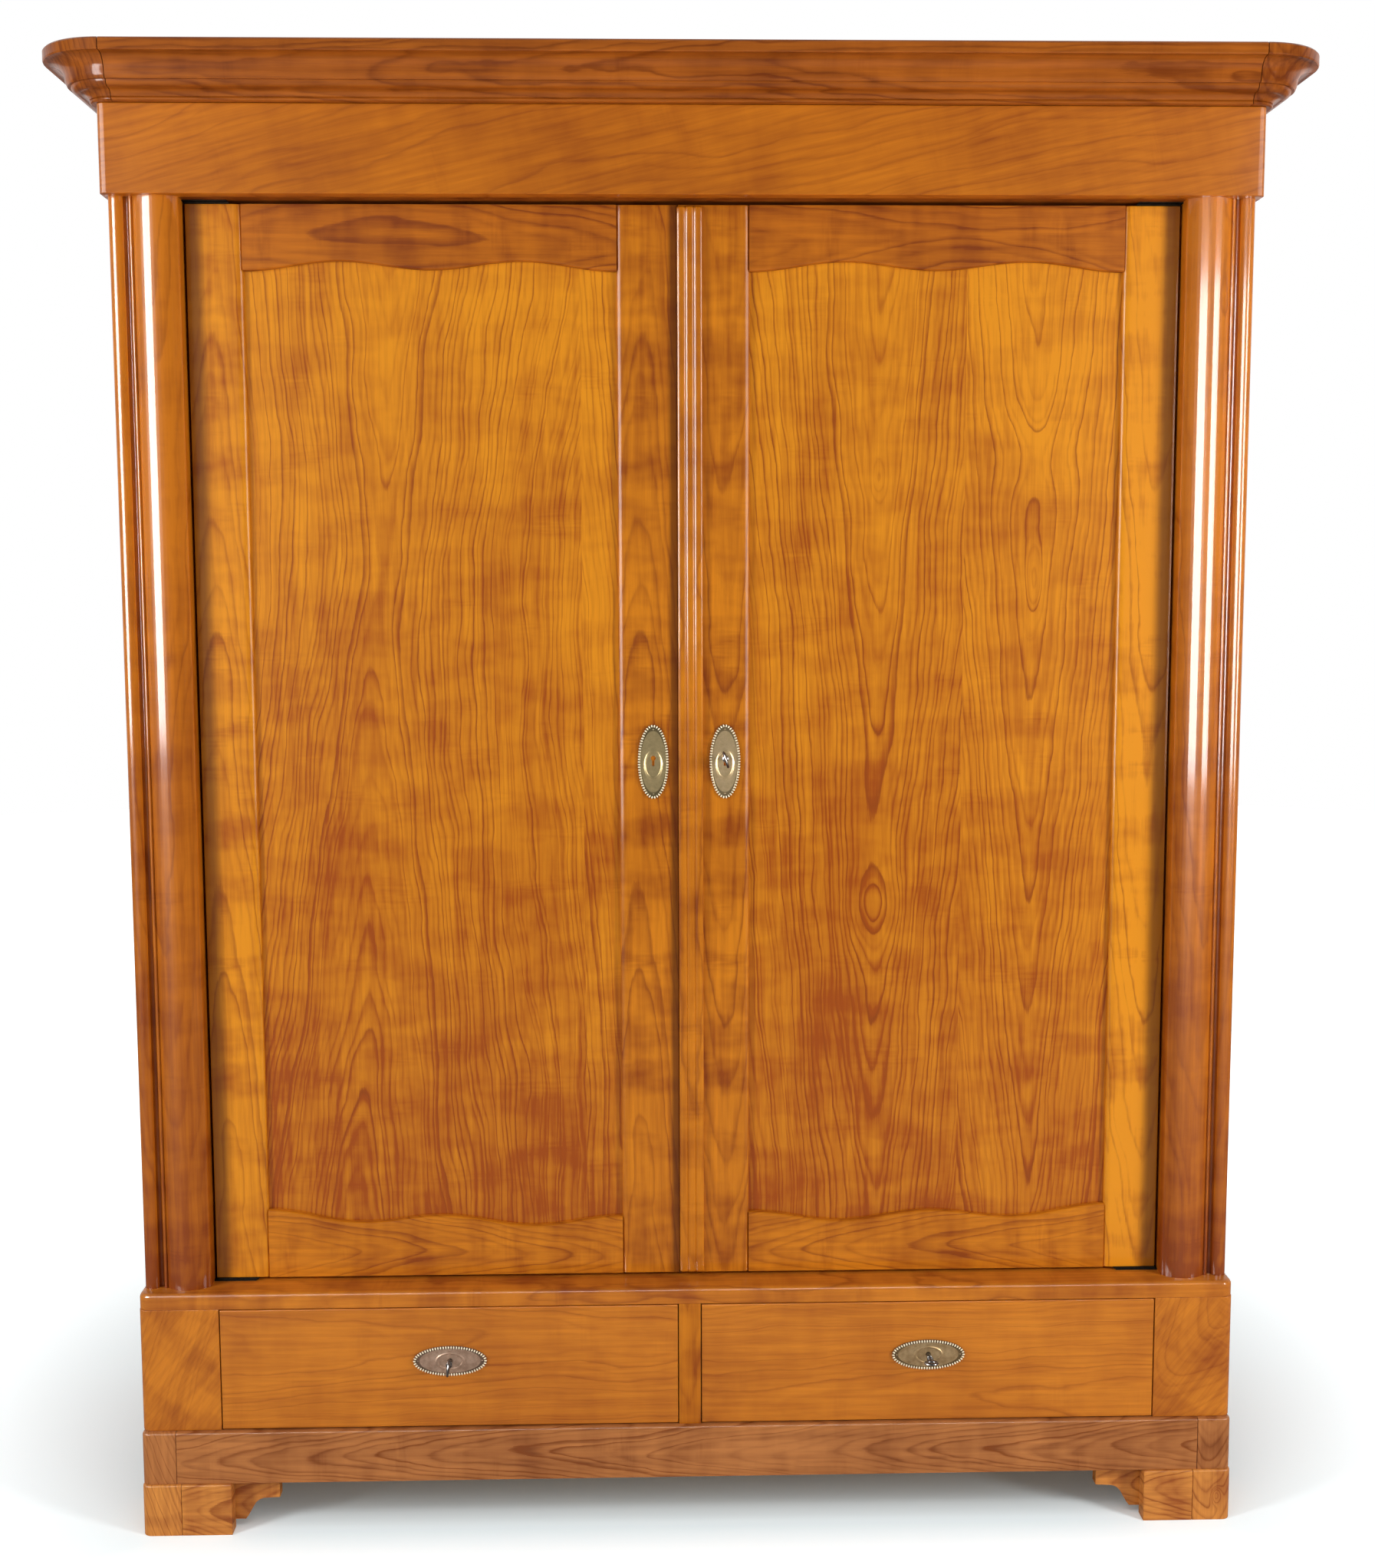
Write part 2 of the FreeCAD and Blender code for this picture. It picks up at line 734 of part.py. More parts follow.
def escutcheon(x, y, z, key_z, across, along, ring_across, ring_along):
    plate = oval(x, y, z, across, along, plate_thickness)
    rim_reach = plate_thickness + rim_height
    rim = oval(x, y, z, across, along, rim_reach)
    rim = rim.cut(oval(x, y, z, across - 2 * rim_width, along - 2 * rim_width, rim_reach))
    ring = oval(x, y, z, ring_across, ring_along, plate_thickness + ring_height)
    ring = ring.cut(oval(x, y, z, ring_across - 2 * ring_thickness, ring_along - 2 * ring_thickness,
                         plate_thickness + ring_height))
    shape = plate.fuse(rim).fuse(ring)
    hole = rod(key_shank_radius + key_hole_clearance, x, y + overrun, key_z, 2 * overrun + plate_thickness,
               Vector(0, -1, 0))
    slot = block(x - keyhole_slot_width / 2, x + keyhole_slot_width / 2, y - overrun - plate_thickness,
                 y + overrun, key_z - keyhole_slot_length, key_z)
    return shape.cut(hole).cut(slot).removeSplitter()


def key(x, face_y, z, tip_y, bow_upright):
    """Shank along Y with a ring bow outside, a collar, and a bit inside the lock."""
    bow_y = face_y - key_reach + key_bow_radius
    shank = rod(key_shank_radius, x, bow_y + key_bow_radius - key_bow_wire / 2, z,
                tip_y - bow_y - key_bow_radius + key_bow_wire / 2, Vector(0, 1, 0))
    across = Vector(1, 0, 0) if bow_upright else Vector(0, 0, 1)
    bow = Part.makeTorus(key_bow_radius, key_bow_wire, Vector(x, bow_y, z), across)
    collar_y = bow_y + key_bow_radius + key_bow_wire
    collar = rod(key_collar_radius, x, collar_y, z, key_collar_length, Vector(0, 1, 0))
    half = key_bit_thickness / 2
    bit = block(x - half, x + half, tip_y - key_bit_width, tip_y, z - key_bit_reach, z)
    if not bow_upright:
        bit.rotate(Vector(x, tip_y, z), Vector(0, 1, 0), 90)
    return shank.fuse(bow).fuse(collar).fuse(bit).removeSplitter()


def door_lock_case():
    """A tray on the back of the stile, open towards the wood, with a slot for the bolt."""
    x0 = right_lock_edge + door_lock_edge_setback
    x1 = x0 + door_lock_case_width
    z0 = door_key_z - door_lock_case_height / 2
    z1 = z0 + door_lock_case_height
    y1 = door_back_y + door_lock_case_depth
    tray = block(x0, x1, door_back_y, y1, z0, z1)
    wall = lock_case_wall
    tray = tray.cut(block(x0 + wall, x1 - wall, door_back_y - overrun, y1 - wall, z0 + wall, z1 - wall))
    gap = lock_bolt_clearance
    half = door_lock_bolt_height / 2 + gap
    y0 = door_lock_bolt_y() - gap
    slot = block(x0 - overrun, x0 + overrun, y0, y0 + door_lock_bolt_thickness + 2 * gap,
                 door_key_z - half, door_key_z + half)
    return tray.cut(slot)


def door_lock_bolt_y():
    inner = door_lock_case_depth - lock_case_wall
    return door_back_y + (inner - door_lock_bolt_thickness) / 2


def door_lock_bolt():
    x0 = right_lock_edge + door_lock_edge_setback / 2
    half = door_lock_bolt_height / 2
    y0 = door_lock_bolt_y()
    return block(x0, x0 + door_lock_bolt_width, y0, y0 + door_lock_bolt_thickness,
                 door_key_z - half, door_key_z + half)


def door_keeper():
    """A staple on the back of the left door that the bolt enters from the side."""
    x1 = left_lock_edge - edge_round
    x0 = x1 - door_lock_travel - lock_bolt_overtravel - 2 * keeper_wall
    gap = bolt_hole_clearance
    half = door_lock_bolt_height / 2 + gap
    y1 = door_lock_bolt_y() + door_lock_bolt_thickness + gap
    body = block(x0, x1, door_back_y, y1 + keeper_wall,
                 door_key_z - half - keeper_wall, door_key_z + half + keeper_wall)
    return body.cut(block(x0 + keeper_wall, x1 + overrun, door_back_y - overrun, y1,
                          door_key_z - half, door_key_z + half))


def bolt_hardware(end_z, sense):
    """Plate and two drilled guides for a bolt that leaves the door at end_z, and the bolt itself."""
    def span(a, b):
        low, high = sorted((end_z - sense * a, end_z - sense * b))
        return low, high
    half = bolt_plate_width / 2
    face = door_back_y + bolt_plate_thickness
    plate_z = span(bolt_plate_end, bolt_plate_end + bolt_plate_length)
    plate = block(bolt_x - half, bolt_x + half, door_back_y, face, *plate_z)
    guide_half = bolt_radius + bolt_guide_wall
    hole_radius = bolt_radius + bolt_clearance
    for start in (bolt_plate_end, bolt_plate_end + bolt_plate_length - bolt_guide_height):
        guide = block(bolt_x - guide_half, bolt_x + guide_half, face, bolt_y + guide_half,
                      *span(start, start + bolt_guide_height))
        plate = plate.fuse(guide)
    low, high = span(0, bolt_plate_end + bolt_plate_length + overrun)
    plate = plate.removeSplitter().cut(rod(hole_radius, bolt_x, bolt_y, low, high - low, Vector(0, 0, 1)))
    low, high = span(bolt_end_setback, bolt_end_setback + bolt_length)
    stem = rod(bolt_radius, bolt_x, bolt_y, low, high - low, Vector(0, 0, 1))
    knob_z = end_z - sense * (bolt_plate_end + bolt_plate_length / 2)
    knob = rod(bolt_knob_radius, bolt_x, bolt_y, knob_z, bolt_knob_length, Vector(0, 1, 0))
    return plate, stem.fuse(knob).removeSplitter()


def drawer_lock(x):
    """Tray on the back of the drawer front with a slot in its top, and the bolt that rises from it."""
    y0 = drawer_back_y
    y1 = y0 + drawer_lock_case_depth
    z1 = drawer_top - drawer_gap
    z0 = z1 - drawer_lock_case_height
    half = drawer_lock_case_width / 2
    wall = lock_case_wall
    tray = block(x - half, x + half, y0, y1, z0, z1)
    tray = tray.cut(block(x - half + wall, x + half - wall, y0 - overrun, y1 - wall, z0 + wall, z1 - wall))
    gap = lock_bolt_clearance
    bolt_half = drawer_lock_bolt_width / 2
    by0 = y0 + wall
    by1 = by0 + drawer_lock_bolt_thickness
    tray = tray.cut(block(x - bolt_half - gap, x + bolt_half + gap, by0 - gap, by1 + gap,
                          z1 - wall - overrun, z1 + overrun))
    top = z1 - lock_bolt_clearance
    bolt = block(x - bolt_half, x + bolt_half, by0, by1, top - drawer_lock_bolt_height, top)
    return tray, bolt


# Drawers. Each is built for the right side of the case.


def drawer_front():
    inner_x = divider_width / 2 + drawer_gap
    outer_x = drawer_outer_x - drawer_gap
    front = block(inner_x, outer_x, ledge_y, drawer_back_y,
                  plinth_top + drawer_gap, drawer_top - drawer_gap)
    front = rounded(front, edge_round, lambda b: b.YMax < ledge_y + edge_round)
    reach = key_shank_radius + key_stile_clearance
    return front.cut(rod(reach, drawer_centre_x, ledge_y - overrun, drawer_key_z,
                         drawer_front_thickness + 2 * overrun, Vector(0, 1, 0)))


def drawer_box():
    inner_x = divider_width / 2 + drawer_gap
    outer_x = drawer_outer_x - drawer_gap
    y0 = drawer_back_y
    y1 = back_y - base_back_thickness - drawer_rear_clearance
    z0 = plinth_top + runner_height + drawer_running_gap
    z1 = drawer_top - drawer_box_drop
    wall = drawer_side_thickness
    sides = [block(inner_x, inner_x + wall, y0, y1, z0, z1), block(outer_x - wall, outer_x, y0, y1, z0, z1)]
    back = block(inner_x + wall, outer_x - wall, y1 - wall, y1, z0 + drawer_bottom_rise, z1)
    floor_z = z0 + drawer_bottom_rise - drawer_bottom_thickness
    bottom = block(inner_x + wall, outer_x - wall, y0, y1, floor_z, z0 + drawer_bottom_rise)
    return sides + [back, bottom]


def main():
    os.makedirs("parts", exist_ok=True)
    save("foot_posts", pair(foot_post()))
    save("foot_boards", [s for board in foot_boards() for s in pair(board)])
    save("rear_feet", pair(rear_foot()))
    save("foot_brackets", pair(foot_bracket()))
    save("plinth_front", [plinth_front()])
    save("plinth_posts", pair(plinth_post()))
    save("plinth_returns", plinth_returns())
    save("base_floor", [base_floor()])
    save("base_posts", pair(base_post()))
    save("base_sides", pair(base_side()))
    save("base_back", [base_back()])
    save("drawer_divider", [drawer_divider()])
    save("drawer_runners", drawer_runners())
    save("waist_ledge", [waist_ledge()])

    save("right_column", [column()])
    save("left_column", [mirrored(column())])
    save("side_frames", [s for piece in side_frame() for s in pair(piece)])
    save("side_panels", pair(side_panel_slot(0)))
    save("back_boards", back_boards())
    save("top_board", [top_board()])
    save("head_rail", [head_rail()])
    save("hat_shelf", [hat_shelf()])
    save("shelf_battens", shelf_battens())
    save("hanging_rail", [hanging_rail()])
    save("rail_sockets", pair(rail_socket()))
    save("frieze_front", [frieze_front()])
    save("frieze_sides", pair(frieze_side()))
    save("cornice_front", [cornice_front()])
    save("cornice_corners", pair(cornice_corner()))
    save("cornice_sides", pair(cornice_side()))
    save("pivot_plates", [s for plate in pivot_plates() for s in pair(plate)])

    hinge_edge = door_outer_x - hinge_stile_width
    left_edge = left_lock_edge - left_lock_stile_width
    right_edge = right_lock_edge + right_lock_stile_width
    hinge_stile = door_stile(hinge_edge, door_outer_x, hinge_edge)
    left_lock_stile = door_stile(left_edge, left_lock_edge, left_edge)
    right_stile = door_stile(right_lock_edge, right_edge, right_edge).cut(door_key_hole())
    left_slot = panel_slot(-hinge_edge, left_edge, groove_clearance)
    right_slot = panel_slot(right_edge, hinge_edge, groove_clearance)
    save("left_door_stiles", [mirrored(hinge_stile).cut(left_slot), left_lock_stile.cut(left_slot)])
    save("left_door_rails", door_rails(-hinge_edge, left_edge, left_bottom_fall))
    save("left_door_panel", [panel_slot(-hinge_edge, left_edge, 0)])
    save("left_door_pivots", [mirrored(s) for s in pivots()])
    save("right_door_stiles", [hinge_stile.cut(right_slot), right_stile.cut(right_slot)])
    save("right_door_rails", door_rails(right_edge, hinge_edge, -right_bottom_fall))
    save("right_door_panel", [panel_slot(right_edge, hinge_edge, 0)])
    save("right_door_pivots", pivots())
    save("meeting_strip", [meeting_strip()])
    for side, x in (("left", -blind_plate_offset_x), ("right", key_offset_x)):
        plate = escutcheon(x, door_y, door_plate_z, door_key_z, plate_width, plate_length,
                           ring_width, ring_length)
        save(side + "_door_escutcheon", [plate])
    top_plate, top_bolt = bolt_hardware(door_top_z, 1)
    bottom_plate, bottom_bolt = bolt_hardware(door_bottom_z, -1)
    save("left_door_bolt_plates", [top_plate, bottom_plate, door_keeper()])
    save("left_door_top_bolt", [top_bolt])
    save("left_door_bottom_bolt", [bottom_bolt])
    save("door_lock_case", [door_lock_case()])
    save("door_lock_bolt", [door_lock_bolt()])
    tip_y = door_back_y + door_lock_case_depth - lock_case_wall - lock_bolt_clearance
    save("door_key", [key(key_offset_x, door_y, door_key_z, tip_y, True)])

    tray, bolt = drawer_lock(drawer_centre_x)
    tip_y = drawer_back_y + drawer_lock_case_depth - lock_case_wall - lock_bolt_clearance
    plate = escutcheon(drawer_centre_x, ledge_y, drawer_key_z, drawer_key_z, plate_length, plate_width,
                       ring_length, ring_width)
    for side, place in (("left", mirrored), ("right", lambda shape: shape)):
        drawer_key = key(drawer_centre_x, ledge_y, drawer_key_z, tip_y, side == "left")
        save(side + "_drawer_front", [place(drawer_front())])
        save(side + "_drawer_box", [place(s) for s in drawer_box()])
        save(side + "_drawer_escutcheon", [place(plate)])
        save(side + "_drawer_lock_case", [place(tray)])
        save(side + "_drawer_lock_bolt", [place(bolt)])
        save(side + "_drawer_key", [place(drawer_key)])


main()
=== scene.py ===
"""Looks of a two-door wardrobe with two drawers, built round its fixed frame.

Lengths in the shape functions are millimetres, in the frame's own axes: +Z up, the front
faces -Y. The property groups hold metres, as Blender does.
"""

import json
import math

import bmesh
import bpy
import numpy as np
from bpy.props import FloatProperty, FloatVectorProperty, PointerProperty
from mathutils import Matrix, Vector


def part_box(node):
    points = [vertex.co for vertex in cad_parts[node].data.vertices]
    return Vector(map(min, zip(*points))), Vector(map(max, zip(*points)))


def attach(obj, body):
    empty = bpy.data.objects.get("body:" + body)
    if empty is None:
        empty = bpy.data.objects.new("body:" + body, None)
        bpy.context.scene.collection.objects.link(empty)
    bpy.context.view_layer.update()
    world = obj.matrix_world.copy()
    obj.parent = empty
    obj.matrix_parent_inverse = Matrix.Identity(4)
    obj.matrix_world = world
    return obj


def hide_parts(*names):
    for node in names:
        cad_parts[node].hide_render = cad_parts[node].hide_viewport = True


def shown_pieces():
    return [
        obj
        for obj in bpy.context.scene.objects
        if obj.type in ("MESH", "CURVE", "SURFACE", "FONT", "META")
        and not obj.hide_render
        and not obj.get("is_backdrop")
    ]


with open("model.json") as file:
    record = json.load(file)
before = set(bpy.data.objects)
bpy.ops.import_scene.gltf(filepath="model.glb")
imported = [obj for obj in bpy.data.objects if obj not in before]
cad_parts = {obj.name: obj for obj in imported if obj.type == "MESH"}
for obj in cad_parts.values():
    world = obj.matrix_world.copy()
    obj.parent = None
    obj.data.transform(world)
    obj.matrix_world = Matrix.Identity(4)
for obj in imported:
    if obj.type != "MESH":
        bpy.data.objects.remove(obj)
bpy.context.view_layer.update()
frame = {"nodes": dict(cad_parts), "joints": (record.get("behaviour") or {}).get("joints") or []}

bl_info = {
    "name": "Two-door wardrobe",
    "version": (1, 0, 0),
    "blender": (4, 5, 0),
    "location": "View3D > Sidebar > Wardrobe",
    "description": "Dresses the frame of a two-door wardrobe in its woods, mouldings, plates and keys",
    "category": "Add Mesh",
}

MM = 0.001
ARRIS = 0.7  # eased edge of a plain board
GUARD = 0.9  # how far a guard point stands from its corner
SMOOTH_ANGLE = math.radians(32)
QUARTER = math.pi / 2


def limits(node):
    """Lowest and highest corner of a fixed node, in millimetres."""
    low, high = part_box(node)
    return np.array(low) / MM, np.array(high) / MM


# Sizes and colours that a user may change


def size(name, description, default):
    return FloatProperty(name=name, description=description, default=default, min=0.0,
                         precision=4, subtype="DISTANCE", unit="LENGTH")


def amount(name, description, default, high=1.0):
    return FloatProperty(name=name, description=description, default=default, min=0.0, max=high)


def colour(name, description, default):
    return FloatVectorProperty(name=name, description=description, default=default, size=3,
                               min=0.0, max=1.0, subtype="COLOR")


class WardrobeJoinery(bpy.types.PropertyGroup):
    """Sizes of the joinery that the frame's boxes do not give."""

    hinge_stile: size("Hinge stile", "Width of the stile beside a column", 0.0755)
    left_lock_stile: size("Left lock stile", "Width of the left door's middle stile", 0.082)
    right_lock_stile: size("Right lock stile", "Width of the right door's middle stile", 0.0975)
    top_rail: size("Top rail", "Height of a top rail at its ends", 0.0885)
    bottom_rail: size("Bottom rail", "Height of a bottom rail at its middle", 0.0915)
    top_hump: size("Top wave", "Rise of the two humps of a top rail's edge", 0.0125)
    top_middle: size("Top wave middle", "Extra rise at the middle of a top rail's edge", 0.002)
    bottom_hump: size("Bottom wave", "Rise of the two humps of a bottom rail's edge", 0.014)
    bottom_middle: size("Bottom wave middle", "Extra rise at the middle of a bottom edge", 0.004)
    left_fall: size("Left fall", "Slope of the left door's bottom wave, end to end", 0.016)
    right_fall: size("Right fall", "Slope of the right door's bottom wave, end to end", 0.006)
    stile_round: size("Stile round", "Width of the stile's eased edge beside the panel", 0.0090)
    stile_round_depth: size("Stile round depth", "Depth of that eased edge", 0.0045)
    rail_round: size("Rail round", "Radius of a wavy edge's front arris", 0.004)


# What each wood is for, its light figure and its dark figure
WOODS = {
    "panel": ("the door panels and hinge stiles", (0.720, 0.265, 0.010), (0.320, 0.062, 0.003)),
    "door": ("lock stiles and bottom rails", (0.640, 0.210, 0.008), (0.260, 0.052, 0.002)),
    "rail": ("the top rails", (0.520, 0.150, 0.008), (0.200, 0.038, 0.003)),
    "case": ("the columns and the frieze", (0.560, 0.165, 0.008), (0.240, 0.046, 0.003)),
    "cornice": ("the cornice", (0.420, 0.112, 0.010), (0.140, 0.026, 0.003)),
    "base": ("drawers, posts and ledge", (0.610, 0.200, 0.015), (0.280, 0.062, 0.006)),
    "plinth": ("the plinth", (0.490, 0.185, 0.052), (0.200, 0.056, 0.013)),
    "foot": ("the feet", (0.760, 0.310, 0.060), (0.300, 0.078, 0.016)),
    "inner": ("the unvarnished inside", (0.560, 0.385, 0.200), (0.395, 0.240, 0.105)),
}


class WardrobeWoods(bpy.types.PropertyGroup):
    """Colours of the woods: a light and a dark figure for each, and one for the grain's lines."""

    line: colour("Grain line", "Darkest lines of the grain", (0.220, 0.047, 0.002))
    __annotations__.update({
        "%s_%s" % (family, figure): colour("%s %s" % (family.capitalize(), figure),
                                           "%s figure in the wood of %s" % (figure.capitalize(), use), tone)
        for family, (use, *tones) in WOODS.items() for figure, tone in zip(("light", "dark"), tones)})


class WardrobeStage(bpy.types.PropertyGroup):
    """Light and floor."""

    daylight: amount("Daylight", "Even light from all round", 0.27, 4.0)
    key_power: amount("Key light", "Power of the large lamp at the left, in watts", 66.0, 2000.0)
    fill_power: amount("Fill light", "Power of the large lamp at the right, in watts", 82.0, 2000.0)
    overhead_power: amount("Floor light", "Power of the lamp over the floor, in watts", 60.0, 2000.0)
    window_glow: amount("Window glow", "Brightness of the windows that the varnish mirrors", 46.0, 400.0)
    floor_shade: colour("Floor", "Colour of the floor as the camera sees it", (0.85, 0.94, 0.97))
    floor_bounce: amount("Floor bounce", "Paleness of the floor as it lights the wardrobe", 0.80)
    floor_mirrored: amount("Floor mirrored", "Paleness of the floor as the varnish mirrors it", 0.30)


# Shapes. A shell is a pair: its points, and its faces as lists of point numbers.


def around(count):
    """The angles of a whole turn in even steps."""
    return np.linspace(0, 2 * math.pi, count, endpoint=False)


def spots(x, y, z):
    """Points from their coordinates, each an array or one number for all of them."""
    return np.stack(np.broadcast_arrays(x, y, z), -1)


def skin(rings, looped=False):
    """Quads between neighbouring closed rings; the end rings are capped, or joined when looped."""
    rings = np.asarray(rings, float)
    index = np.arange(rings.shape[0] * rings.shape[1]).reshape(rings.shape[:2])
    here = index if looped else index[:-1]
    following = np.roll(index, -1, axis=0) if looped else index[1:]
    quads = [here, np.roll(here, -1, 1), np.roll(following, -1, 1), following]
    faces = np.stack(quads, -1).reshape(-1, 4).tolist()
    if not looped:
        faces += [index[0].tolist(), index[-1].tolist()]
    return rings.reshape(-1, 3), faces


def mesh_of(name, shells):
    """Several shells as one mesh, each one's face numbers moved on by the points before it."""
    starts = np.cumsum([0] + [len(points) for points, faces in shells]).tolist()
    faces = [[i + start for i in face]
             for start, (points, numbers) in zip(starts, shells) for face in numbers]
    points = np.concatenate([points for points, numbers in shells])
    mesh = bpy.data.meshes.new(name)
    mesh.from_pydata((points * MM).tolist(), [], faces)
    return mesh


def add(name, data):
    """A new object in the scene."""
    made = bpy.data.objects.new(name, data)
    bpy.context.scene.collection.objects.link(made)
    return made


def pierced(piece, shells):
    """Cuts closed shells out of a piece that sits at the origin."""
    mesh = mesh_of("cutter", shells)
    cutter = add("cutter", mesh)
    cut = piece.modifiers.new("cut", "BOOLEAN")
    cut.operation, cut.solver, cut.object = "DIFFERENCE", "EXACT", cutter
    graph = bpy.context.evaluated_depsgraph_get()
    piece.data = bpy.data.meshes.new_from_object(piece.evaluated_get(graph))
    piece.modifiers.clear()
    bpy.data.objects.remove(cutter)
    bpy.data.meshes.remove(mesh)


def put(name, node, material, shells, body="case", cuts=()):
    """Makes a piece of shells in a fixed node's place, smooth between its sharp edges."""
    mesh = mesh_of(name, shells)
    work = bmesh.new()
    work.from_mesh(mesh)
    bmesh.ops.remove_doubles(work, verts=work.verts, dist=MM / 500)
    bmesh.ops.recalc_face_normals(work, faces=work.faces)
    work.to_mesh(mesh)
    work.free()
    mesh.shade_smooth()
    mesh.set_sharp_from_angle(angle=SMOOTH_ANGLE)
    mesh.materials.append(material)
    piece = add(name, mesh)
    if cuts:
        pierced(piece, cuts)
    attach(piece, body)
    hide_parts(node)


def arc(start, middle, end, count):
    """Points on the circle through three points, worked out with complex numbers: when the first
    two are moved to 0 and 1 and the third to w, the centre is (w - |w|^2) / (w - conjugate of w)."""
    a, b, c = three = np.array([complex(*point) for point in (start, middle, end)])
    w = (c - a) / (b - a)
    centre = a + (b - a) * (w - abs(w) ** 2) / (2j * w.imag)
    angles = np.unwrap(np.angle(three - centre))
    line = centre + abs(a - centre) * np.exp(1j * np.linspace(angles[0], angles[2], count + 1))
    return np.stack([line.real, line.imag], -1)


def trace(start, steps, arc_count=10):
    """Points of an outline: a step of one point is a line, one of two is an arc through the first."""
    points = [np.array([start], float)]
    for step in steps:
        here = points[-1][-1]
        points.append(arc(here, *step, arc_count)[1:] if len(step) == 2 else np.array(step, float))
    return np.concatenate(points)


def guarded(points):
    """The closed outline with a point near both ends of each long side, so shading stays flat there."""
    following = np.roll(points, -1, axis=0)
    length = np.hypot(*(following - points).T)
    unit = (following - points) / np.maximum(length, 1e-9)[:, None]
    return np.concatenate([np.stack([p, p + GUARD * u, q - GUARD * u]) if side > 5 * GUARD else p[None]
                           for p, q, u, side in zip(points, following, unit, length)])


def rounded_section(x0, x1, y0, y1, radii, steps=6):
    """A rectangle whose corners are quarter circles, or quarter ellipses where radii holds pairs,
    in the order ++, -+, --, +-, with a point on the flat just before and just after each corner."""
    radii = np.asarray(radii, float)
    wide, deep = (radii.T if radii.ndim == 2 else (radii, radii))
    turn = (np.arange(4) * QUARTER)[:, None] + np.linspace(0, QUARTER, steps + 1)[None]
    x = np.array([x1, x0, x0, x1]) + wide * np.array([-1, 1, 1, -1])
    y = np.array([y1, y1, y0, y0]) + deep * np.array([-1, -1, 1, 1])
    x = x[:, None] + wide[:, None] * np.cos(turn)
    y = y[:, None] + deep[:, None] * np.sin(turn)
    first, last = turn[:, :1], turn[:, -1:]
    x = np.hstack([x[:, :1] + GUARD * np.sin(first), x, x[:, -1:] - GUARD * np.sin(last)])
    y = np.hstack([y[:, :1] - GUARD * np.cos(first), y, y[:, -1:] + GUARD * np.cos(last)])
    return np.stack([x.ravel(), y.ravel()], -1)


def billet(low, high, axis="z", radii=(ARRIS,) * 4, rolls=(ARRIS, ARRIS), draw=(1, 1, 1, 1)):
    """A block along an axis. Its section is a rounded rectangle, drawn in at each end by
    r(1 - cos t) where it is r(1 - sin t) from the end; draw says which sides are drawn in."""
    main = "xyz".index(axis)
    a, b = [i for i in range(3) if i != main]
    turn = np.linspace(QUARTER, 0, 6)
    near = [(low[main] + rolls[0] * (1 - math.sin(t)), rolls[0] * (1 - math.cos(t))) for t in turn]
    far = [(high[main] - rolls[1] * (1 - math.sin(t)), rolls[1] * (1 - math.cos(t))) for t in turn[::-1]]
    near.append((near[-1][0] + GUARD, 0))
    far.insert(0, (far[0][0] - GUARD, 0))
    rings = []
    for place, inset in near + far:
        flat = rounded_section(low[a] + inset * draw[0], high[a] - inset * draw[1],
                               low[b] + inset * draw[2], high[b] - inset * draw[3],
                               np.maximum(np.asarray(radii) - inset, 0.02))
        ring = np.full((len(flat), 3), place, float)
        ring[:, a], ring[:, b] = flat[:, 0], flat[:, 1]
        rings.append(ring)
    return skin(rings)


def lathe(profile, centre, axis="y", count=28, looped=False):
    """A turned form: each (place, radius) is a circle across the axis at that place."""
    main = "xyz".index(axis)
    a, b = [i for i in range(3) if i != main]
    turn = around(count)
    profile = np.asarray(profile, float)
    rings = np.empty((len(profile), count, 3))
    rings[:, :, main] = centre[main] + profile[:, :1]
    rings[:, :, a] = centre[a] + profile[:, 1:] * np.cos(turn)
    rings[:, :, b] = centre[b] + profile[:, 1:] * np.sin(turn)
    return skin(rings, looped)


def across(shell, sign):
    """The shell, or for a sign of -1 its mirror image in the plane x = 0."""
    points, faces = shell
    return points * np.array([sign, 1, 1]), faces


def both(shell):
    """The shell's mirror image and the shell itself."""
    return [across(shell, -1), across(shell, 1)]


def ball(centre, radii, rows=4, count=8):
    """A small closed bead: circles whose radius is the sine of the height angle."""
    tilt = np.linspace(0.12, math.pi - 0.12, rows + 1)[:, None]
    turn = around(count)[None]
    rings = spots(radii[0] * np.sin(tilt) * np.cos(turn), radii[1] * np.cos(tilt),
                  radii[2] * np.sin(tilt) * np.sin(turn))
    return skin(rings + np.asarray(centre, float))


# Materials


def maths_node(operation, reflected=False):
    """A method that adds a Math node for the value and what it meets, or the other way round."""
    def method(value, *others):
        terms = (*others, value) if reflected else (value, *others)
        return value.nodes.maths(operation, *terms)
    return method


class Value:
    """A number that varies over a surface; sums and products of values add the nodes for them."""

    def __init__(self, nodes, socket):
        self.nodes, self.socket = nodes, socket

    __add__ = __radd__ = maths_node("ADD")
    __mul__ = __rmul__ = maths_node("MULTIPLY")
    __sub__, __rsub__ = maths_node("SUBTRACT"), maths_node("SUBTRACT", True)
    __truediv__ = maths_node("DIVIDE")
    root, part, whole = maths_node("SQRT"), maths_node("FRACT"), maths_node("FLOOR")
    over = maths_node("GREATER_THAN")


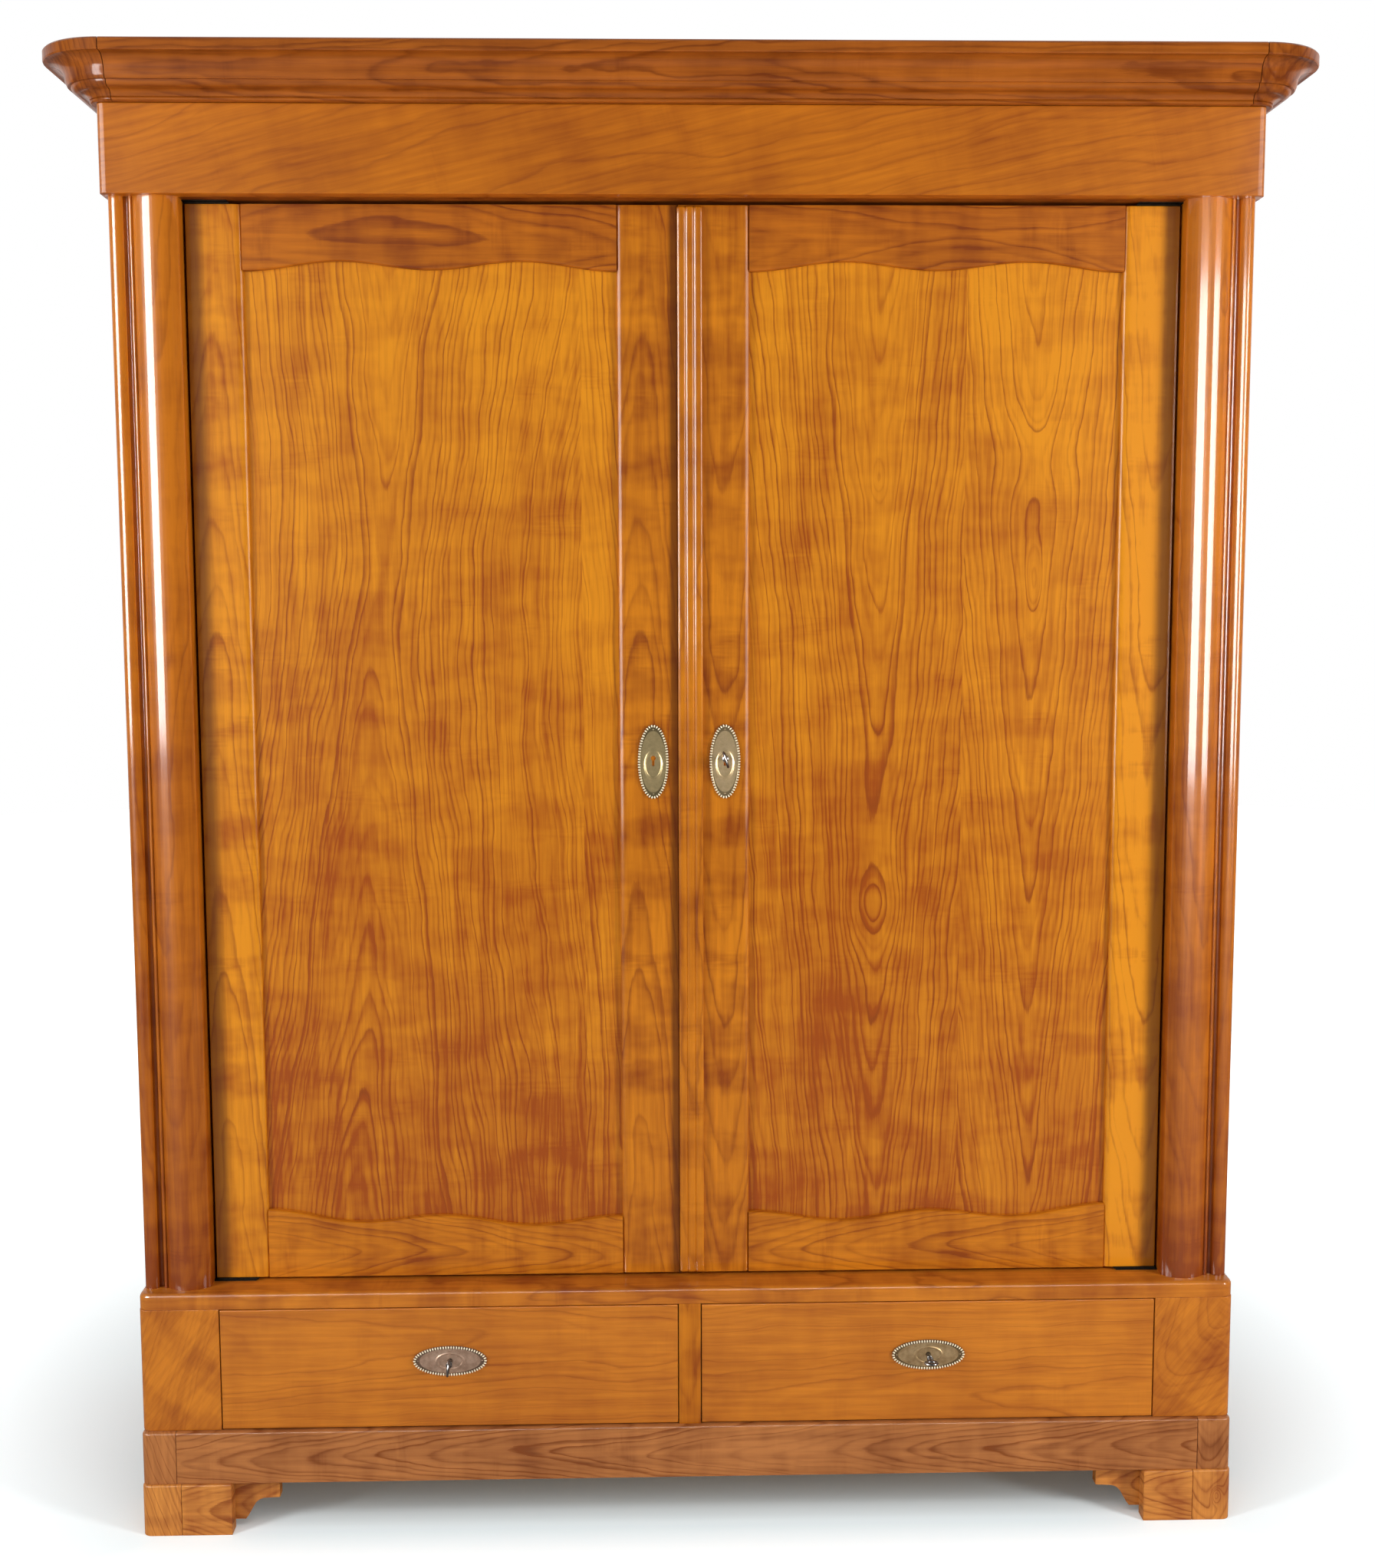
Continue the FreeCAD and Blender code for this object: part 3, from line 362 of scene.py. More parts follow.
class Nodes:
    """The nodes of a material or of the world."""

    def __init__(self, owner):
        owner.use_nodes = True
        self.tree = owner.node_tree
        self.tree.nodes.clear()

    def give(self, socket, given):
        """Sets a socket to a number or a colour, or links it to a value or an output."""
        source = given.socket if isinstance(given, Value) else given
        if isinstance(source, bpy.types.NodeSocket):
            self.tree.links.new(source, socket)
        elif isinstance(socket, bpy.types.NodeSocketColor) and len(source) == 3:
            socket.default_value = (*source, 1.0)
        else:
            socket.default_value = source

    def node(self, kind, inputs=None, **settings):
        """Adds a node, sets its settings and then gives its sockets a value or a link."""
        made = self.tree.nodes.new("ShaderNode" + kind)
        for key, setting in settings.items():
            if key == "stops":
                elements = made.color_ramp.elements
                while len(elements) < len(setting):
                    elements.new(1.0)
                for element, (place, tone) in zip(elements, setting):
                    element.position = place
                    element.color = (tone, tone, tone, 1.0)
            else:
                setattr(made, key, setting)
        for key, given in (inputs or {}).items():
            self.give(made.inputs[key], given)
        return made

    def value(self, kind, inputs, **settings):
        """The first output of a new node, as a value."""
        return Value(self, self.node(kind, inputs, **settings).outputs[0])

    def maths(self, operation, *terms):
        return self.value("Math", dict(enumerate(terms)), operation=operation)

    def split(self, kind, whole):
        """The three numbers of a vector or a colour."""
        return [Value(self, out) for out in self.node(kind, {0: whole}).outputs]


class Finish(Nodes):
    """A material under construction, with one shader whose sockets are set or fed."""

    def __init__(self, name, **sockets):
        self.material = bpy.data.materials.new(name)
        super().__init__(self.material)
        self.shader = self.node("BsdfPrincipled")
        self.node("OutputMaterial", {"Surface": self.shader.outputs[0]})
        self.feed(**sockets)

    def feed(self, **sockets):
        """Gives sockets of the shader; an underscore in a name stands for a space."""
        for key, given in sockets.items():
            self.give(self.shader.inputs[key.replace("_", " ")], given)

    def place(self, at=(0, 0, 0), turn=(0, 0, 0)):
        """Object coordinates in millimetres from a point, in axes turned by three angles."""
        source = self.node("TexCoord").outputs["Object"]
        made = self.node("Mapping", {"Vector": source, "Location": tuple(c * MM for c in at),
                                     "Rotation": turn, "Scale": (MM,) * 3}, vector_type="TEXTURE")
        return self.split("SeparateXYZ", made.outputs[0])

    def noise(self, spot, across, along, detail=2.0, roughness=0.5):
        """Three noises between 0 and 1, in cells as wide and as long as given."""
        cells = {i: c / wide for i, (c, wide) in enumerate(zip(spot, (across, across, along)))}
        point = self.node("CombineXYZ", cells).outputs[0]
        made = self.node("TexNoise", {"Vector": point, "Scale": 1.0, "Detail": detail,
                                      "Roughness": roughness})
        return self.split("SeparateColor", made.outputs["Color"])

    def tone(self, value, *stops):
        """The value read along a ramp of (place, tone) stops."""
        return self.value("ValToRGB", {0: value}, stops=stops)

    def rise(self, value, start, end):
        """0 up to the start, 1 from the end, and an even slope between them."""
        return self.tone(value, (start, 0.0), (end, 1.0))

    def blend(self, factor, first, second):
        """Mix of two colours, each a colour or the output of another mix."""
        return self.node("Mix", {0: factor, 6: first, 7: second}, data_type="RGBA").outputs[2]

    def relief(self, height, depth):
        """Bumps the shader's normal by a height of 0 to 1 that stands for a depth in millimetres."""
        made = self.node("Bump", {"Strength": 1.0, "Distance": depth * MM, "Height": height})
        self.feed(Normal=made.outputs[0])


GRAIN_TURN = {"z": (0, 0, 0), "x": (0, QUARTER, 0), "y": (-QUARTER, 0, 0)}


def wood(name, family, grain, at, depth, taper, spacing, wander, heave, lines=1.0, mottle=1.0,
         seam=None, knots=(), tilt=0.0, painted_shade_slope=0.0, shear=0.0, saddle=False, shade=0.0, painted_shadow=None):
    """Flat-sawn board. Rings are cones round a heart that runs along the grain behind the face,
    so they open into flames; a saddle opens them both ways. Each ring deepens from early to late
    wood, the strongest end in a dark line, and knots lift or sink the ring count round a point.
    Clouds and curls across the grain break the rings, as in burred ash. A board may carry a
    painted shadow: a dark band from an edge out to a reach, for the shade that a column or the
    meeting strip casts on it. All but the inner wood is varnished."""
    woods = bpy.context.scene.wardrobe_woods
    light, dark = getattr(woods, family + "_light"), getattr(woods, family + "_dark")
    varnish = family != "inner"
    finish = (Finish(name, Coat_Weight=0.42, Coat_Roughness=0.11, Coat_IOR=1.5, Specular_IOR_Level=0.08)
              if varnish else Finish(name, Specular_IOR_Level=0.3))
    turn = GRAIN_TURN[grain]
    u, v, w = finish.place(at, (turn[0], turn[1] + math.radians(tilt), turn[2]))
    height, edge_u = w, u
    if seam:
        edge, shift_u, shift_w, gain = seam
        second = u.over(edge)
        u, w, v = u - second * shift_u, w + second * shift_w, v + second * 3000
    spot = u, v, w
    slow = [2 * n - 1 for n in finish.noise(spot, 210, 520)]
    small = [2 * n - 1 for n in finish.noise(spot, 55, 130, 3.0)]
    sideways = u + slow[0] * wander + small[0] * 9 + w * shear
    deep = slow[1] * heave + small[1] * 5 + depth
    along = (w * w + 10000).root() if saddle else w
    rings = ((sideways * sideways + deep * deep).root() - along * taper) / spacing
    for knot_u, knot_w, reach_u, reach_w, strength in knots:
        du, dw = (u - knot_u + small[2] * 5) / reach_u, (w - knot_w) / reach_w
        rings = rings + finish.maths("EXPONENT", 0 - (du * du + dw * dw)) * strength
    rings = rings + 1.6 * finish.value("TexNoise", {"W": rings * 0.6, "Scale": 1.0, "Detail": 1.0},
                                       noise_dimensions="1D")
    fibre = finish.noise(spot, 0.9, 24, 3.0, 0.6)
    rings = rings + (fibre[1] - 0.5) * 0.22
    chance = finish.value("TexWhiteNoise", {"W": rings.whole()}, noise_dimensions="1D")
    phase = rings.part()
    late = finish.tone(phase, (0.0, 0.3), (0.16, 0.0), (0.48, 0.05), (0.78, 0.8), (0.89, 1.0), (1.0, 0.35))
    late = late * (0.3 + 0.7 * chance)
    line = finish.tone(phase, (0.0, 0.1), (0.06, 0.0), (0.72, 0.0), (0.88, 1.0), (1.0, 0.2))
    line = line * finish.rise(chance, 0.45, 0.95) * (0.35 + fibre[0] * 1.1)
    broad = finish.noise(spot, 120, 240, 3.0)
    cloud = finish.noise(spot, 95, 42, 2.5)
    curl = finish.noise(spot, 40, 4.2, 1.0)
    streak = finish.noise(spot, 7, 170, 3.0, 0.6)
    smudge = finish.rise(cloud[0], 0.42, 0.68)
    curls = finish.rise(curl[0], 0.38, 0.66) * finish.rise(cloud[1], 0.56, 0.70)
    ground = (finish.rise(broad[0], 0.34, 0.66) * 0.34 + late * (0.46 * lines)
              + smudge * (0.36 * mottle) + curls * (0.16 * mottle) + (streak[0] - 0.5) * 1.0
              + (fibre[2] - 0.5) * 0.25 + 0.08 + shade)
    # Painted shade: a negative slope makes the board darker towards the bottom, standing in for light that
    # falls from above.
    if painted_shade_slope:
        ground = ground + height * painted_shade_slope
    if seam:
        ground = ground - second * gain
    base = finish.blend(ground, light, dark)
    base = finish.blend(line * (0.55 * lines), base, woods.line)
    # Painted shadow: a dark band from the edge out to the reach, standing in for the shade that a column or
    # the meeting strip casts on the board.
    if painted_shadow:
        edge, reach, strength = painted_shadow
        film = finish.tone((edge_u + small[1] * 2 - edge) / reach, (0.0, strength), (0.5, strength * 0.85),
                           (0.8, strength * 0.3), (1.0, 0.0))
        base = finish.blend(film, base, tuple(c * 0.45 for c in woods.line))
    finish.feed(Base_Color=base)
    if varnish:
        finish.feed(Roughness=0.36 + ground * 0.08 + line * 0.08)
        ripple = finish.noise(spot, 34, 110)
        finish.relief(ripple[0] * 0.8 - line * 0.1 + fibre[0] * 0.04, 0.16)
    else:
        finish.feed(Roughness=0.62 + fibre[0] * 0.2)
        finish.relief(fibre[0] - line * 0.5, 0.25)
    return finish.material


# Near-white painted highlight on the beads of the key plates
BEAD_HIGHLIGHT_TONE = (1.0, 0.90, 0.66)
BEAD_FOOT = 2.6  # height over the wood where the beads begin


def brass(name, tint, dull, at, half_x, half_z, polish):
    """Worn brass: a paler rubbed tone over a duller one, with fine scratches, dark specks and a
    rim of beads painted almost white as a painted highlight over dark gaps, found by the
    distance from the middle in half widths and by the height over the wood."""
    finish = Finish(name)
    spot = x, y, z = finish.place(at)
    reach = ((x / half_x) * (x / half_x) + (z / half_z) * (z / half_z)).root()
    depth = 3.4 / min(half_x, half_z)
    edge = finish.rise(reach, 1 - depth * 1.15, 1 - depth * 0.95)
    rim = edge * finish.rise(0 - y - BEAD_FOOT, 0.0, 0.5)
    patch = finish.noise(spot, 9, 9, 4.0, 0.6)
    fleck = finish.noise(spot, 0.9, 0.9)
    worn = finish.rise(patch[0], 0.36, 0.66)
    base = finish.blend(worn, dull, tint)
    for share, tone in ((finish.tone(fleck[0], (0.62, 0.0), (0.78, 0.7)), tuple(c * 0.35 for c in dull)),
                        (edge, tuple(c * 0.5 for c in dull)), (rim, BEAD_HIGHLIGHT_TONE)):
        base = finish.blend(share, base, tone)
    # The beads turn less metallic, so their painted highlight shows as a pale colour under any light.
    finish.feed(Base_Color=base, Metallic=0.75 - rim * 0.65,
                Roughness=polish - worn * 0.10 + fleck[1] * 0.10 + rim * 0.12)
    finish.relief(fleck[0] * 0.2 + patch[1], 0.02)
    return finish.material


def steel(name, tint, roughness=0.34):
    """Old steel: dark film broken by rubbed places."""
    finish = Finish(name, Metallic=0.92)
    spot = finish.place()
    patch = finish.noise(spot, 6, 6, 4.0, 0.6)
    fine = finish.noise(spot, 0.7, 0.7)
    worn = finish.rise(patch[0], 0.35, 0.65)
    finish.feed(Base_Color=finish.blend(worn, tuple(c * 0.45 for c in tint), tint),
                Roughness=roughness + fine[0] * 0.14 - worn * 0.08)
    finish.relief(fine[0] * 0.6 + patch[1], 0.06)
    return finish.material


def dress(material, *nodes):
    """Gives fixed nodes the material in place of their own."""
    for node in nodes:
        mesh = frame["nodes"][node].data
        mesh.materials.clear()
        mesh.materials.append(material)


# Feet, plinth and drawer case


def bracket(inner_x, front_y, lap=40, thickness=18, top=75, foot=11):
    """Board whose free edge is a level foot, a slope, a hollow and a long flat tip."""
    outline = guarded(trace((inner_x + lap, foot), [
        ((inner_x, foot),), ((inner_x - 14, foot),), ((inner_x - 18, 16),), ((inner_x - 27, 32),),
        ((inner_x - 34, 39.5), (inner_x - 44, 42.6)), ((inner_x - 64, 43.5),), ((inner_x - 64, top),),
        ((inner_x + lap, top),)], 8))
    centre = outline.mean(0)
    rings = []
    for offset, inset in ((0.2, 0.6), (0.8, 0), (1.8, 0), (thickness, 0)):
        drawn = centre + (outline - centre) * (1 - inset / 40)
        rings.append(spots(drawn[:, 0], front_y + offset, drawn[:, 1]))
    return skin(rings)


class WARDROBE_OT_feet(bpy.types.Operator):
    """Corner posts, boards and scalloped brackets of the feet"""

    bl_idname = "wardrobe.feet"
    bl_label = "Feet"

    def execute(self, context):
        low, high = limits("foot_posts")
        post_x, board_x, thickness = 725.5, 654.5, 25
        post_y = low[1] + high[0] - post_x
        plain = wood("foot_wood", "foot", "z", (752, -200, 40), 30, 0.3, 6, 18, 12, 0.9, 1.2,
                     knots=((8, -3, 7, 12, 4),))
        level = wood("foot_board_wood", "foot", "x", (700, -230, 40), 25, 0.2, 6, 20, 12)
        post = billet((post_x + 0.3, low[1], 0), (high[0], post_y, high[2]), "z",
                      (ARRIS, ARRIS, ARRIS, 12), (0.8, 3), (0, 1, 1, 0))
        front = billet((board_x, low[1], 0), (post_x - 0.3, low[1] + thickness, high[2]), "x",
                       (ARRIS, 3, ARRIS, ARRIS))
        side = billet((high[0] - thickness, post_y, 0),
                      (high[0], limits("foot_boards")[1][1], high[2]), "y")
        put("foot_corner_posts", "foot_posts", plain, both(post))
        put("foot_front_boards", "foot_boards", level, both(front) + both(side))
        put("foot_scalloped_brackets", "foot_brackets", level,
            both(bracket(board_x, low[1] + thickness)))
        return {"FINISHED"}


class WARDROBE_OT_plinth(bpy.types.Operator):
    """Front board and corner posts of the plinth"""

    bl_idname = "wardrobe.plinth"
    bl_label = "Plinth"

    def execute(self, context):
        low, high = limits("plinth_front")
        flame = wood("plinth_front_wood", "plinth", "x", (-230, -225, 112), 16, 0.10, 6, 20, 10, 1.35, 0.8)
        upright = wood("plinth_post_wood", "plinth", "z", (756, -230, 110), 30, 0.3, 6, 18, 12)
        put("plinth_board", "plinth_front", flame,
            [billet(low + (0.3, 0, 0), high - (0.3, 0, 0), "x", (ARRIS, 4.5, ARRIS, ARRIS))])
        low, high = limits("plinth_posts")
        width = 49
        put("plinth_corner_posts", "plinth_posts", upright,
            both(billet((high[0] - width + 0.3, low[1], low[2]), (high[0], low[1] + width, high[2]), "z",
                        (ARRIS, ARRIS, ARRIS, 12), (ARRIS, 4.5), (0, 1, 1, 0))))
        return {"FINISHED"}


class WARDROBE_OT_base(bpy.types.Operator):
    """Corner posts beside the drawers and the waist ledge over them"""

    bl_idname = "wardrobe.base"
    bl_label = "Drawer case"

    def execute(self, context):
        low, high = limits("base_posts")
        width, depth = 113, 70
        marbled = wood("base_post_wood", "base", "z", (725, -180, 240), 40, 0.4, 9, 30, 25, 0.45, 1.2,
                       tilt=38)
        put("base_corner_posts", "base_posts", marbled,
            both(billet((high[0] - width, low[1], low[2] + 0.2), (high[0], low[1] + depth, high[2] - 0.2),
                        "z", (ARRIS, ARRIS, ARRIS, 13))))
        low, high = limits("waist_ledge")
        level = wood("ledge_wood", "base", "x", (0, -230, 340), 35, 0.01, 6, 25, 15, 0.7)
        bolt_radius, clearance, depth = 4, 0.6, 18
        bolt_low, bolt_high = limits("left_door_bottom_bolt")
        axis = ((bolt_low[0] + bolt_high[0]) / 2, bolt_low[1] + bolt_radius, high[2])
        sockets = [lathe([(-depth, bolt_radius + clearance), (4, bolt_radius + clearance)], axis, "z")]
        for side in ("left", "right"):
            bolt_low, bolt_high = limits(side + "_drawer_lock_bolt")
            sockets.append(billet((*bolt_low[:2] - clearance, low[2] - 4),
                                  (*bolt_high[:2] + clearance, low[2] + 12)))
        put("waist_board", "waist_ledge", level,
            [billet(low, high, "z", (ARRIS, ARRIS, 16, 16), (ARRIS, 6.5), (1, 1, 1, 0))], cuts=sockets)
        return {"FINISHED"}


# Columns and cornice


class WARDROBE_OT_columns(bpy.types.Operator):
    """Rounded corner columns: swell, thin ridge, cove and outer bead"""

    bl_idname = "wardrobe.columns"
    bl_label = "Corner columns"

    def execute(self, context):
        low, high = limits("right_column")
        door_y = limits("right_door_stiles")[0][1]
        jamb = low[0]
        face = limits("side_frames")[1][0] - jamb
        back = door_y - high[1]
        section = guarded(trace((0, back), [
            ((0, 21),), ((0.6, 22.8), (2, 24)), ((31, 38), (59.6, 25.6)), ((60.4, 24.6),),
            ((62.9, 26.9), (65.4, 24.6)), ((66, 23.6),), ((69.4, 17.6), (73, 24.4)),
            ((82.5, 30), (93.5, 19)), ((91.4, 12.6), (86.3, 8.7)), ((84.4, 7.2), (face, 5)),
            ((face, back),)], 14))
        shell = skin([spots(jamb + section[:, 0], door_y - section[:, 1], z) for z in (low[2], high[2])])
        for name, sign in (("right", 1), ("left", -1)):
            # The columns grow darker towards the bottom as painted shade.
            grain = wood(name + "_column_wood", "case", "z", (sign * 730, -190, 1100), 40, 0.04, 8, 30, 25,
                         0.6, 0.8, painted_shade_slope=-0.0006)
            put(name + "_corner_column", name + "_column", grain, [across(shell, sign)])
        return {"FINISHED"}


# Steps of the cornice's outline from foot to top, as shares of its projection and its height
CORNICE_SHARES = [
    ((0.140, 0.00),), ((0.172, 0.035), (0.155, 0.07)), ((0.175, 0.08),),
    ((0.225, 0.155), (0.355, 0.195)), ((0.380, 0.195),),
    ((0.470, 0.235), (0.510, 0.320)), ((0.565, 0.320),),
    ((0.602, 0.400), (0.615, 0.490)), ((0.705, 0.680), (0.925, 0.760)), ((0.985, 0.760),),
    ((1.000, 0.785),), ((1.000, 0.965),), ((0.970, 1.000),)]


class WARDROBE_OT_cornice(bpy.types.Operator):
    """Frieze board and the moulded cornice with its turned corners"""

    bl_idname = "wardrobe.cornice"
    bl_label = "Frieze and cornice"

    def execute(self, context):
        low, high = limits("frieze_front")
        figure = wood("frieze_wood", "case", "x", (-150, -200, 1930), 60, 0.02, 12, 70, 30, 0.5, 0.5,
                      tilt=-13)
        put("frieze_board", "frieze_front", figure,
            [billet(low, high - (0, 0, 0.3), "z", (ARRIS, ARRIS, 10, 10))])
        corner_low, corner_high = limits("cornice_corners")
        projection, height = corner_high[0] - high[0], corner_high[2] - corner_low[2]
        radius, joint = 24.0, 0.8
        steps = [tuple((out * projection, up * height) for out, up in step) for step in CORNICE_SHARES]
        section = guarded(trace((1 - radius, 0), steps + [((1 - radius, height),)], 8))
        top_x, top_y = high[0], low[1]
        half, reach, z = top_x - radius, radius + section[:, 0], corner_low[2] + section[:, 1]
        front = skin([spots(x, top_y - section[:, 0], z) for x in (-half + joint, half - joint)])
        corner = skin([spots(half + reach * math.sin(t), top_y + radius - reach * math.cos(t), z)
                       for t in np.linspace(0.004, QUARTER - 0.004, 25)])
        side = skin([spots(top_x + section[:, 0], y, z)
                     for y in (top_y + radius + joint, limits("cornice_sides")[1][1])])
        for name, node, shells, grain in (
                ("cornice_moulding", "cornice_front", [front],
                 wood("cornice_wood", "cornice", "x", (100, -240, 2020), 30, 0.03, 6, 30, 15, 1.2, 0.5)),
                ("cornice_turned_corners", "cornice_corners", both(corner),
                 wood("cornice_corner_wood", "cornice", "z", (790, -250, 2020), 40, 0.3, 7, 20, 15)),
                ("cornice_side_mouldings", "cornice_sides", both(side),
                 wood("cornice_side_wood", "cornice", "y", (790, 0, 2020), 40, 0.03, 7, 30, 25))):
            put(name, node, grain, shells)
        return {"FINISHED"}


# Doors


def wavy_rail(x0, x1, straight, edge, hump, middle, fall, sense, front, back, roll):
    """Board between stiles. Its panel edge rises by half the hump times one less the cosine of
    two turns, plus half the middle times one less the cosine of one turn, and falls evenly."""
    s = np.linspace(0, 1, 121)
    rise = hump * (1 - np.cos(4 * math.pi * s)) / 2 + middle * (1 - np.cos(2 * math.pi * s)) / 2
    wave = edge + sense * rise + fall * (0.5 - s)
    inside = 1 if straight > edge else -1
    turn = np.linspace(0, QUARTER, 7)
    y = np.concatenate([[back, back], front + roll * (1 - np.sin(turn)), [front, front]])
    offset = np.concatenate([[0, 0], inside * roll * (1 - np.cos(turn)), [inside * (roll + GUARD), 0]])
    rings = spots((x0 + s * (x1 - x0))[:, None], y, wave[:, None] + offset)
    rings[:, [0, -1], 2] = straight
    return skin(rings)


class WARDROBE_OT_doors(bpy.types.Operator):
    """Stiles, wavy rails and panels of both doors"""

    bl_idname = "wardrobe.doors"
    bl_label = "Doors"

    def execute(self, context):
        sizes = context.scene.wardrobe_joinery
        arris, roll = (ARRIS, ARRIS), (sizes.stile_round / MM, sizes.stile_round_depth / MM)
        for side, sign, lock, fall in (("left", -1, sizes.left_lock_stile, sizes.left_fall),
                                       ("right", 1, sizes.right_lock_stile, -sizes.right_fall)):
            body = side + "_door"
            low, high = limits(body + "_stiles")
            outer, inner = (low[0], high[0]) if sign < 0 else (high[0], low[0])
            hinge_edge, lock_edge = outer - sign * (sizes.hinge_stile / MM), inner + sign * (lock / MM)
            # Painted shadow: the hinge stiles darken in a band beside the columns, and the left lock stile in
            # a band beside the meeting strip, where these cast their shade.
            for place, start, end, family, painted_shadow, paler in (
                    ("hinge", outer, hinge_edge, "panel", (-sign * 26, 0.7), -0.15 if sign < 0 else -0.4),
                    ("lock", inner, lock_edge, "door", (sign * 15, 0.7) if sign < 0 else None, 0)):
                x0, x1 = min(start, end), max(start, end)
                radii = (arris, arris, arris, roll) if end > start else (arris, arris, roll, arris)
                heart = (x0 + x1) / 2 + sign * 14
                name = "%s_%s_stile" % (side, place)
                grain = wood(name + "_wood", family, "z", (heart, -150, 1000), 30, 0.07 * sign, 8, 22, 20,
                             0.9, 1.4, shade=paler, painted_shadow=painted_shadow and (start - heart, *painted_shadow))
                put(name, body + "_stiles", grain,
                    [billet((x0, low[1], low[2]), (x1, high[1], high[2]), "z", radii)], body)
            x0, x1 = min(hinge_edge, lock_edge), max(hinge_edge, lock_edge)
            for place, sense, straight, height, hump, middle, slope, figure in (
                    ("top", 1, high[2], sizes.top_rail, sizes.top_hump, sizes.top_middle, 0,
                     (13, 48, 18, 1.3)),
                    ("bottom", -1, low[2], sizes.bottom_rail, sizes.bottom_hump, sizes.bottom_middle,
                     fall / MM, (8, 26, 18, 0.9))):
                shell = wavy_rail(x0, x1, straight, straight - sense * (height / MM), hump / MM, middle / MM,
                                  slope, sense, low[1], high[1], sizes.rail_round / MM)
                name = "%s_%s_rail" % (side, place)
                heart = ((x0 + x1) / 2 + 40 * sign, -150, straight - 40 * sense - 10)
                grain = wood(name + "_wood", "rail" if place == "top" else "door", "x", heart, 14,
                             0.16 * sign, *figure, saddle=place == "top")
                put(name, body + "_rails", grain, [shell], body)
        # Both panels grow darker towards the bottom as painted shade.
        dress(wood("left_panel_wood", "panel", "z", (-426, -190, 1340), 16, 0.11, 7.6, 34, 10, 1.25, 0.75,
                   seam=(280, 330, 900, 0.1), painted_shade_slope=-0.0004, shear=-0.05, saddle=True, shade=0.02),
              "left_door_panel")
        dress(wood("right_panel_wood", "panel", "z", (268, -190, 1100), 16, 0.085, 7.6, 26, 10, 1.3, 0.75,
                   seam=(121, 221, 1500, 0.10), painted_shade_slope=-0.0004, shade=0.13,
                   knots=((0, -211, 34, 52, -3.2), (0, 393, 12, 26, -2), (0, 1750, 12, 42, -2.5),
                          (0, 1926, 60, 60, 2.5))), "right_door_panel")
        return {"FINISHED"}


class WARDROBE_OT_strip(bpy.types.Operator):
    """Reeded strip over the joint between the doors"""

    bl_idname = "wardrobe.strip"
    bl_label = "Meeting strip"

    def execute(self, context):
        low, high = limits("meeting_strip")
        start, reed, half_reed, crown, shoulder, groove = -2.0, 11.5, 5.4, 8.8, 7.2, 6.6
        round_depth, round_half, fall, sound = 3.4, 6.2, 4.0, 12  # how the reeds end
        centres = start + reed * (np.arange(3) + 0.5)
        steps = [((start, groove),)]
        for centre in centres:
            steps += [((centre - half_reed, shoulder),), ((centre, crown), (centre + half_reed, shoulder)),
                      ((centre + reed / 2, groove),)]
        steps.append(((centres[2] + reed / 2, 0),))
        outline = trace((start, 0), steps, 12)
        x = low[0] + outline[:, 0]
        nearest = centres[np.digitize(outline[:, 0], centres[:2] + reed / 2)]
        bow = np.maximum(1 - ((outline[:, 0] - nearest) / round_half) ** 2, 0)
        lobe = round_depth * (1 - np.sqrt(bow))
        rings = []
        for end, inward in ((low[2], 1), (high[2], -1)):
            part = []
            for turn in np.linspace(0.25, QUARTER, 7):
                share = math.sin(turn)
                rise = lobe * (1 - 0.6 * share) + fall * (1 - math.cos(turn))
                part.append(spots(x, high[1] - outline[:, 1] * share, end + inward * rise))
            part.append(spots(x, high[1] - outline[:, 1], end + inward * sound))
            rings += part if inward > 0 else part[::-1]
        grain = wood("strip_wood", "door", "z", (6, -180, 900), 40, 0.01, 7, 20, 20, 0.6, 0.9)
        put("reeded_strip", "meeting_strip", grain, [skin(rings)], "right_door")
        return {"FINISHED"}


class WARDROBE_OT_drawers(bpy.types.Operator):
    """Drawer fronts with eased edges"""

    bl_idname = "wardrobe.drawers"
    bl_label = "Drawer fronts"

    def execute(self, context):
        for side, sign in (("left", -1), ("right", 1)):
            low, high = limits(side + "_drawer_front")
            grain = wood(side + "_drawer_wood", "base", "x", (sign * 340 + 60, -200, 225 - 50 * sign), 70,
                         0.03 * sign, 5.5, 34, 20, 0.6, 0.4)
            put(side + "_drawer_board", side + "_drawer_front", grain,
                [billet(low, high, "y", (1.2,) * 4, (1.5, ARRIS))], side + "_drawer")
        return {"FINISHED"}


# Plates, keys, bolts and rail


def oval(half_x, half_z, turn):
    return np.stack([half_x * np.cos(turn), half_z * np.sin(turn)], -1)


def keyhole_edge(turn, foot, slot_length):
    """Its reach at an angle is the further of the circle and the slot below it."""
    circle, slot_half, raised = 3.5, 1.7, 2.0
    cos, sin = np.cos(turn), np.sin(turn)
    reach_circle = raised * sin + np.sqrt(circle ** 2 - (raised * cos) ** 2)
    reach_side = slot_half / np.maximum(np.abs(cos), 1e-9)
    ends = np.where(sin < 0, slot_length - raised, raised)
    reach_end = ends / np.maximum(np.abs(sin), 1e-9)
    reach = np.maximum(reach_circle, np.minimum(reach_side, reach_end))
    return np.stack([reach * cos, foot - raised + reach * sin], -1)


